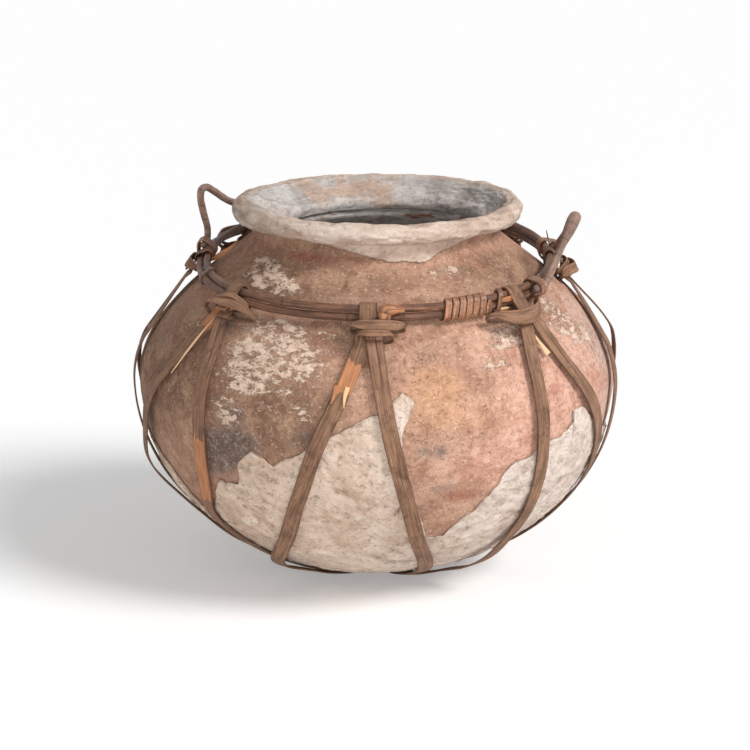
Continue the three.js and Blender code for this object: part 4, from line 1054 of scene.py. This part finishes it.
def makeStrap(index, material):
    strap = straps[index]
    stations = strapStations(index)
    path = centripetal(polar(stations[:, 0], stations[:, 1], stations[:, 2]), 1.6)
    outwards = unit(path * [1, 1, 0])
    ahead = aheadOf(path)
    facing = outwards * ahead[:, 2:] - np.array([0, 0, 1]) * (ahead * outwards).sum(1, keepdims=True)
    height = path[:, 2]
    # A strap is widest near the hoop and wavers a little
    width = harness["strapWidth"] - 1 + 0.9 * ease(170, 232, height) + 0.4 * softNoise(path / 38, 1, 31 + index)
    grid = ribbonGrid(path, facing, width, harness["strapThickness"], 50 + index)
    # The peeled stretches end ragged, and one worn edge shows pale wood
    climbing = (np.arange(len(path)) > np.argmin(height)).astype(float)
    patchy = ease(0.25, 0.85, softNoise(path / [30, 30, 55], 1, 61 + index))
    tan = (0.06 * ease(200, 236, height) + 0.22 * patchy)[:, None]
    torn = stacked(acrossRibbon() * 3.5, height[:, None] / 30, index * 7.0)
    ragged = height[:, None] + 5 * softNoise(torn, 1, 67) + 2 * softNoise(torn * 3, 1, 68)
    for leg, low, high, share in strap.get("bare", []):
        here = ease(low - 0.8, low + 0.8, ragged) * ease(high + 3, high - 3, ragged)
        tan = np.maximum(tan, share * (climbing == leg)[:, None] * here)
    worn = ease(0.86, 0.97, acrossRibbon() * (1 if index % 2 else -1))
    worn = worn * ease(0.1, 0.6, softNoise(path / 22, 1, 73))[:, None]
    tan = tan + 0.5 * worn * ease(20, 60, height)[:, None]
    # Both edges of each strap are darkened through the dark layer: painted shade
    makePiece(f"strap{index + 1}", grid, material, replaces=(f"strap_{index + 1}",),
              layers={"tan": tan, "dark": 0.45 * ease(0.84, 0.97, np.abs(acrossRibbon()))})


for number in range(8):
    makeStrap(number, strapCane)
print("straps made")


# Collars: the bands of each as (half width, middle aside, [(place across from -1 to 1, how far down, width), ...])
plainBands = [(20.5, 0.0, [(-1, -3, 6), (0, -1, 8), (1, -3, 6)]),
              (16.5, 0.0, [(-1, 4.5, 4), (0, 5, 6), (1, 4.5, 4)])]
collars = [
    [(25.0, 9.0, [(-1, 4, 3.0), (-0.8, 0.5, 8), (-0.3, -1.5, 11), (0.3, -1, 11), (0.75, 1, 7), (1, 3, 2.0)]),
     (15.0, 6.0, [(-1, -4, 4), (0, -8, 6), (1, -6, 3)])],
    [(20.5, 6.2, [(-1, -2.4, 1.2), (-0.84, -1.2, 3.4), (-0.6, 0.3, 6.4), (0, 1.0, 7.8), (0.6, 0.2, 6.6),
                  (0.86, -1.6, 3.6), (1, -2.8, 2)]),
     (13.5, 4.6, [(-1, 6.6, 1.4), (-0.6, 7.6, 4.4), (0, 8.4, 5.6), (0.6, 7.6, 4.4), (1, 6.6, 1.4)])],
    [(25.5, -12.0, [(-1, -5.5, 2.4), (-0.8, -1.5, 6), (-0.4, 3.6, 10), (0.1, 4.6, 12.5), (0.6, 1, 13),
                    (0.86, -3.5, 13), (1, -6, 12)])],
    [(19.0, 0.0, [(-1, -2, 9), (-0.5, 2, 8), (0.4, 3, 7), (1, 0, 8)]),
     (16.0, 0.0, [(-1, -7, 3), (0, -5, 4), (1, -7, 3)])],
    plainBands,
    [(20.0, 0.0, [(-1, -2, 6), (0, -2, 8), (1, -4, 6)]), (17.0, 0.0, [(-1, 4.5, 4), (0, 5, 6), (1, 4, 4)])],
    plainBands,
    [(14.0, -3.0, [(-1, -5, 6), (-0.3, -3, 10), (0.5, -2, 10), (1, -4, 7)])],
]


def makeCollar(index, bands, material):
    # Each band is a flat closed loop with superelliptic corners: c = |cos|^corner across, s = |sin|^corner in depth.
    # Its outer half follows the listed line and widths round the shoulder; its hidden half runs straight behind.
    hitch = harness["hitches"][index]
    a = np.radians(np.linspace(0, 360, harness["collarPoints"], endpoint=False))
    c, s = (np.sign(v) * np.abs(v) ** harness["collarCorner"] for v in (np.cos(a), np.sin(a)))
    outer = ease(-0.35, 0.35, s)
    for k, (half, middle, line) in enumerate(bands):
        line = np.array(line, float)
        straight = line[0, 1] + (line[-1, 1] - line[0, 1]) * (c + 1) / 2
        down = smoothAt(line[:, 0], line[:, 1], c) * outer + straight * (1 - outer)
        width = smoothAt(line[:, 0], line[:, 2], c) * outer + np.minimum(3, line[:, 2].max()) * (1 - outer)
        width = np.maximum(width, 1.5) * (1 + 0.05 * np.sin(a * 3 + index))
        depth = np.where(s > 0, hitch[2] + 0.9 * (1 - c ** 2) + 0.3 - 0.5 * k, hitch[2] - 0.4)
        radius, height = nearHitch(hitch, hitch[1] + down + 0.4 * np.sin(a * 2 + index), depth * s)
        across = np.degrees((middle + half * c) / radius)
        path = polar(hitch[0] + across, radius, height)
        grid = ribbonGrid(path, path - path.mean(0), width, harness["collarThickness"], 90 + 3 * index + k,
                          ribs=0.10, closed=True)
        tan = 0.10 + 0.22 * softNoise(path / 9, 1, 88)[:, None] + 0.12 * ease(0.85, 0.97, acrossRibbon())
        # The hidden half of each band is darkened through the dark layer: painted shade behind the collar
        makePiece(f"collar{index + 1}{'AB'[k]}", grid, material, ring=True,
                  replaces=() if k else (f"collar_{index + 1}",),
                  layers={"tan": tan, "dark": 0.6 * (s[:, None] < -0.3)})


for number, bands in enumerate(collars):
    makeCollar(number, bands, strapCane)
print("collars made")


# Lashings: turns of flattened cane round the rods and, at a handle, round its foot too
lashings = {
    "hoop_lashing": {"azimuth": -64.4, "turns": 6.5, "pitch": 5.7, "width": 5.2, "thickness": 1.85, "start": 0},
    "hoop_tie": {"azimuth": -53.4, "turns": 1.2, "pitch": 12, "width": 4.0, "thickness": 2.2, "start": 0.9},
    "foot": {"pitch": 3.1, "width": 2.75, "thickness": 1.5, "start": 0}, "clear": 0.65,
    "thread": {"azimuth": -158, "turns": 3.3, "pitch": 1.3, "width": 1.0, "thickness": 0.9, "start": 0.3},
}
# Handles: azimuths of the feet, and the loop as [share of the way between the feet, height above them]
handles = {
    "left": {"feet": (167, 131), "radius": 2.7, "lean": 0, "turns": (4, 3), "rings": 2.1, "scars": 13.5,
             "loop": [(0.02, 10), (-0.05, 26), (-0.085, 38), (-0.06, 43.5), (0.03, 43.8), (0.16, 38.4), (0.42, 26),
                      (0.88, 10)]},
    "right": {"feet": (-32, 7), "radius": 3.6, "lean": 25, "turns": (3, 3), "rings": 2.9, "scars": 17,
              "loop": [(0.09, 10), (0.27, 27), (0.4, 41), (0.48, 45), (0.56, 41), (0.72, 27), (0.92, 10)]},
    "footLength": 17, "lashingAt": 0.64, "footPlay": 1.0,
}


def makeLashing(name, rounds, size, material, seed, replaces=True, dark=0.0):
    # The cane follows a tight belt round the circles while it moves along the hoop by its pitch each turn
    reach = lashings["clear"] + size["thickness"] / 2
    belt = tightRound(np.concatenate([circle(x, y, radius + reach) for x, y, radius in rounds]))
    core = belt.mean(0)
    belt = np.concatenate([belt, belt[:1]])
    along = lengthsAlong(belt)
    turn = np.linspace(0, size["turns"], int(size["turns"] * 64) + 1)
    at = (size["start"] + turn) % 1 * along[-1]
    hoopRadius = hoopCentre(size["azimuth"])[0]
    here = size["azimuth"] + np.degrees((turn - size["turns"] / 2) * size["pitch"] / hoopRadius)
    path = polar(here, *besidePair(here, np.interp(at, along, belt[:, 0]), np.interp(at, along, belt[:, 1])))
    facing = path - polar(here, *besidePair(here, core[0], core[1]))
    width = size["width"] * (1 + 0.05 * softNoise(path / 7, 1, seed))
    width = width * (0.55 + 0.45 * ease(0, 0.12, np.minimum(turn, size["turns"] - turn)))
    grid = ribbonGrid(path, facing, width, size["thickness"], seed, ribs=0.07, power=2.6, points=20)
    tan = 0.34 * softNoise(path / 14, 1, seed + 2)[:, None] + 0.45 * ease(1.1, 0.3, turn)[:, None]
    first, *others = name.split("_")
    makePiece(first + "".join(other.capitalize() for other in others), grid, material,
              replaces=(name,) if replaces else (), layers={"tan": tan * (1 - dark), "dark": dark})


def footSeat(radius):  # how far out a foot lies that rests in the groove between the rods, with half its play
    reach = harness["rodRadius"] + radius + harness["clearance"]
    return math.sqrt(reach ** 2 - (harness["rodSpacing"] / 2) ** 2) + handles["footPlay"] / 2


def alongFoot(size, index, share):  # the azimuth at a share of a foot's length, away from the loop
    foot = size["feet"][index]
    away = math.copysign(1, foot - size["feet"][1 - index])
    return foot + math.degrees(away * share * handles["footLength"] / hoopCentre(foot)[0])


def handlePath(size):
    # Both feet lie on the pair of rods; the loop stands in a plane through the feet that leans outwards
    seat = footSeat(size["radius"])
    front, back = [polar(foot, *besidePair(foot, seat, 0)) for foot in size["feet"]]
    along = back - front
    span = np.linalg.norm(along)
    along = along / span
    rise = unit(np.array([0, 0, 1]) - along * along[2])
    out = np.cross(along, rise)
    out = out if out @ front > 0 else -out
    lean = math.radians(size["lean"])
    up = rise * math.cos(lean) + out * math.sin(lean)

    def footPoint(index, share):
        here = alongFoot(size, index, share)
        return polar(here, *besidePair(here, seat + handles["footPlay"] * share, 0))

    loop = [front + along * span * share + up * height for share, height in size["loop"]]
    points = [footPoint(0, 1), footPoint(0, 0.5), front, *loop, back, footPoint(1, 0.5), footPoint(1, 1)]
    return centripetal(points, 0.8), out


def makeHandle(side, material):
    # A round rod whose radius swells towards the crown; the right one is slimmest at about half its height
    size = handles[side]
    path, out = handlePath(size)
    length = lengthsAlong(path)[:, None]
    height = path[:, 2:] - path[:, 2].min()
    risen = height / height.max()
    swell = 0.36 * ease(0.60, 0.97, risen) - 0.24 * bell(risen - 0.56, 0.16)
    swell = swell if side == "right" else 0.08 * ease(0.3, 0.6, risen)
    radius = size["radius"] * (1 + swell) + 0.12 * softNoise(roundGrain(length / 11, 2), 1, 3)
    # Fine rings round the bent part and scars of old nodes
    radius = radius + 0.07 * np.sin(length * size["rings"])
    dark = 0
    for scar in np.arange(9, length[-1, 0], size["scars"]):
        away = np.abs(length - scar + 2.5 * math.sin(scar))
        radius = radius + 0.22 * bell(away, 1.3) - 0.3 * bell(away, 0.45)
        dark = np.maximum(dark, 0.8 * bell(away, 0.6))
    foot = ease(13, 5, height)
    radius = radius * (1 - foot) + np.minimum(radius, size["radius"] - 0.03) * foot
    radius = radius * ease(-0.6, 2.2, np.minimum(length, length[-1] - length))
    facing = np.broadcast_to(np.cross(aheadOf(path), out), path.shape)
    makePiece(side + "Handle", roundGrid(path, facing, radius), material, body=side + "_handle",
              replaces=(side + "_handle",), layers={"tan": 0.25 * softNoise(path / 15, 1, 5)[:, None], "dark": dark})


rounds = [(0, side * harness["rodSpacing"] / 2, harness["rodRadius"]) for side in (-1, 1)]
makeLashing("hoop_lashing", rounds, lashings["hoop_lashing"], lashingCane, 11)
makeLashing("hoop_tie", rounds, lashings["hoop_tie"], lashingCane, 12, dark=0.45)
makeLashing("left_thread", rounds, lashings["thread"], lashingCane, 15, replaces=False, dark=0.8)
for side in ("left", "right"):
    makeHandle(side, handleCane)
    radius = handles[side]["radius"]
    foot = (footSeat(radius) + handles["footPlay"] / 2, 0, radius + handles["footPlay"] / 2)
    for place, end in enumerate(("front", "back")):
        turned = dict(lashings["foot"], turns=handles[side]["turns"][place],
                      azimuth=alongFoot(handles[side], place, handles["lashingAt"]))
        makeLashing(f"{side}_{end}_lashing", rounds + [foot], turned, lashingCane, 20 + place)
print("lashings and handles made")


# Trim too fine for the solids: splinters, torn bark, cut ends and loose tails of cane
trim = {
    # Slivers on the shoulder: stations (azimuth, height, off the wall), widths, share of bare cane, thickness
    "slivers": {
        "collarSplinter": ([(-45.9, 222, 3.4), (-45.5, 211, 3.9), (-44.5, 202, 4.4)], [0.8, 2.6, 5.0], 1.7, 0.6),
        "legSplinter": ([(-138.4, 225, 6.3), (-140.2, 207, 6.7), (-143.9, 184, 6.5)], [0.5, 2.3, 0.5], 1.7, 0.6),
        "barkTearLeft": ([(-98.9, 193, 5.4), (-99.2, 187, 6.2), (-99.8, 181, 7.6)], [3.4, 3.0, 0.8], 0.9, 0.6),
        "barkTearRight": ([(-96.4, 192, 5.4), (-96.9, 186, 6.3), (-97.0, 178.5, 7.4)], [3.6, 2.6, 0.6], 1.7, 0.6),
        "looseTail": ([(-176.0, 249, 4.0), (-171.0, 256, 4.6), (-167.0, 262, 6.0), (-165, 266, 8)],
                      [2.0, 4.8, 3.2, 0.8], 0.7, 0.9),
        "farSplinter": ([(5.2, 243, 5.0), (6.6, 235, 5.5), (6.2, 226, 5.2)], [0.8, 3.0, 0.6], 1.6, 0.6),
    },
    # Slivers along the hoop: stations (azimuth, across the pair, along the pair), and the same three
    "onHoop": {
        "hoopSplinterUpper": ([(-55.4, 3.4, -6.2), (-52.5, 3.9, -5.9), (-49.4, 4.3, -6.6)],
                              [0.6, 2.0, 0.5], 1.6, 0.7),
        "hoopSplinterLower": ([(-54.0, 2.6, -7.6), (-51.5, 3.4, -7.4), (-48.2, 3.6, -8.4)],
                              [0.6, 1.6, 0.4], 1.2, 0.7),
        "woodStub": ([(-53.4, 4.6, 0.6), (-51.0, 5.1, 0.4), (-48.2, 5.2, 0.2)], [2.6, 4.2, 3.4], 0.95, 2.4),
        "spikyTail": ([(9, 3.4, 5.2), (13, 4.4, 7.4), (17, 6.0, 11.0)], [2.6, 2.2, 0.4], 0.1, 0.8),
    },
    # The cut stub: across and along the pair, how far aside of the hitch, widths and thicknesses
    "stubLine": [(4.6, 3.4), (5.0, 4.0), (5.8, 3.4), (6.3, -0.6), (6.6, -4.0)],
    "stubAside": [26, 18, 12.5, 10.8, 10.4, 10.2, 10.4],
    "stubWidths": [3.6, 6.6, 9.4, 10.4, 9.4, 7.4, 4.6], "stubThickness": [1.2, 2.8, 3.8, 3.8, 2.8, 1.6],
    "turned": {"looseTail": 60, "farSplinter": -40},
}


def makeSliver(name, path, facing, widths, bare, thickness):
    share = np.linspace(0, 1, len(path))
    width = np.maximum(smoothAt(np.linspace(0, 1, len(widths)), widths, share), 0.3)
    thick = np.interp(share, np.linspace(0, 1, np.size(thickness)), np.atleast_1d(thickness))
    thick = thick * ease(-0.2, 0.12, share)
    grid = ribbonGrid(path, facing, width, thick, 170 + len(name), ribs=0.04, power=3.0, points=18)
    makePiece(name, grid, strapCane, layers={"tan": bare, "dark": 0})


def makeTrim():
    for name, (stations, widths, bare, thickness) in trim["slivers"].items():
        azimuth, height, standoff = np.array(stations, float).T
        radius, level = offWall(height, standoff)
        path = centripetal(polar(azimuth, radius, level), 0.6)
        facing = polar(azimuth.mean() + trim["turned"].get(name, 0), 1, 0.4) + 0 * path
        makeSliver(name, path, unit(facing), widths, bare, thickness)
    for name, (stations, widths, bare, thickness) in trim["onHoop"].items():
        azimuth, across, along = np.array(stations, float).T
        path = centripetal(polar(azimuth, *besidePair(azimuth, across, along)), 0.6)
        makeSliver(name, path, unit(path * [1, 1, 0]), widths, bare, thickness)
    # A thick cane lies along the upper rod, bends down beside the second hitch and is cut off in its bands
    hitch = harness["hitches"][1]
    beside = [besidePair(hitch[0], across, along) for across, along in trim["stubLine"]]
    line = np.array([*beside, nearHitch(hitch, 8.5, 9.2), nearHitch(hitch, 12.5, 8.6)])
    aside = np.degrees(np.array(trim["stubAside"]) / line[:, 0])
    path = centripetal(polar(hitch[0] + aside, line[:, 0], line[:, 1]), 0.6)
    facing = unit(path * [1, 1, 0] + [0, 0, 40])
    makeSliver("cutStub", path, facing, trim["stubWidths"], 0.5, trim["stubThickness"])


makeTrim()
print("trim made")


# The ring under the jar, where the straps turn
def makeBaseRing(material):
    low = harness["strapThickness"] + harness["clearance"]
    azimuth = np.linspace(0, 360, harness["ringPoints"], endpoint=False)
    path = polar(azimuth, harness["ringInner"] + harness["ringWidth"] / 2, low + harness["ringThickness"] / 2)
    facing = np.array([[0.0, 0.0, 1.0]]) + 0 * path
    grid = ribbonGrid(path, facing, harness["ringWidth"] - 0.1, harness["ringThickness"] - 0.1, 140, power=4.0,
                      closed=True)
    makePiece("baseRing", grid, material, replaces=("base_ring",), ring=True,
              layers={"tan": 0, "dark": 0})


makeBaseRing(strapCane)
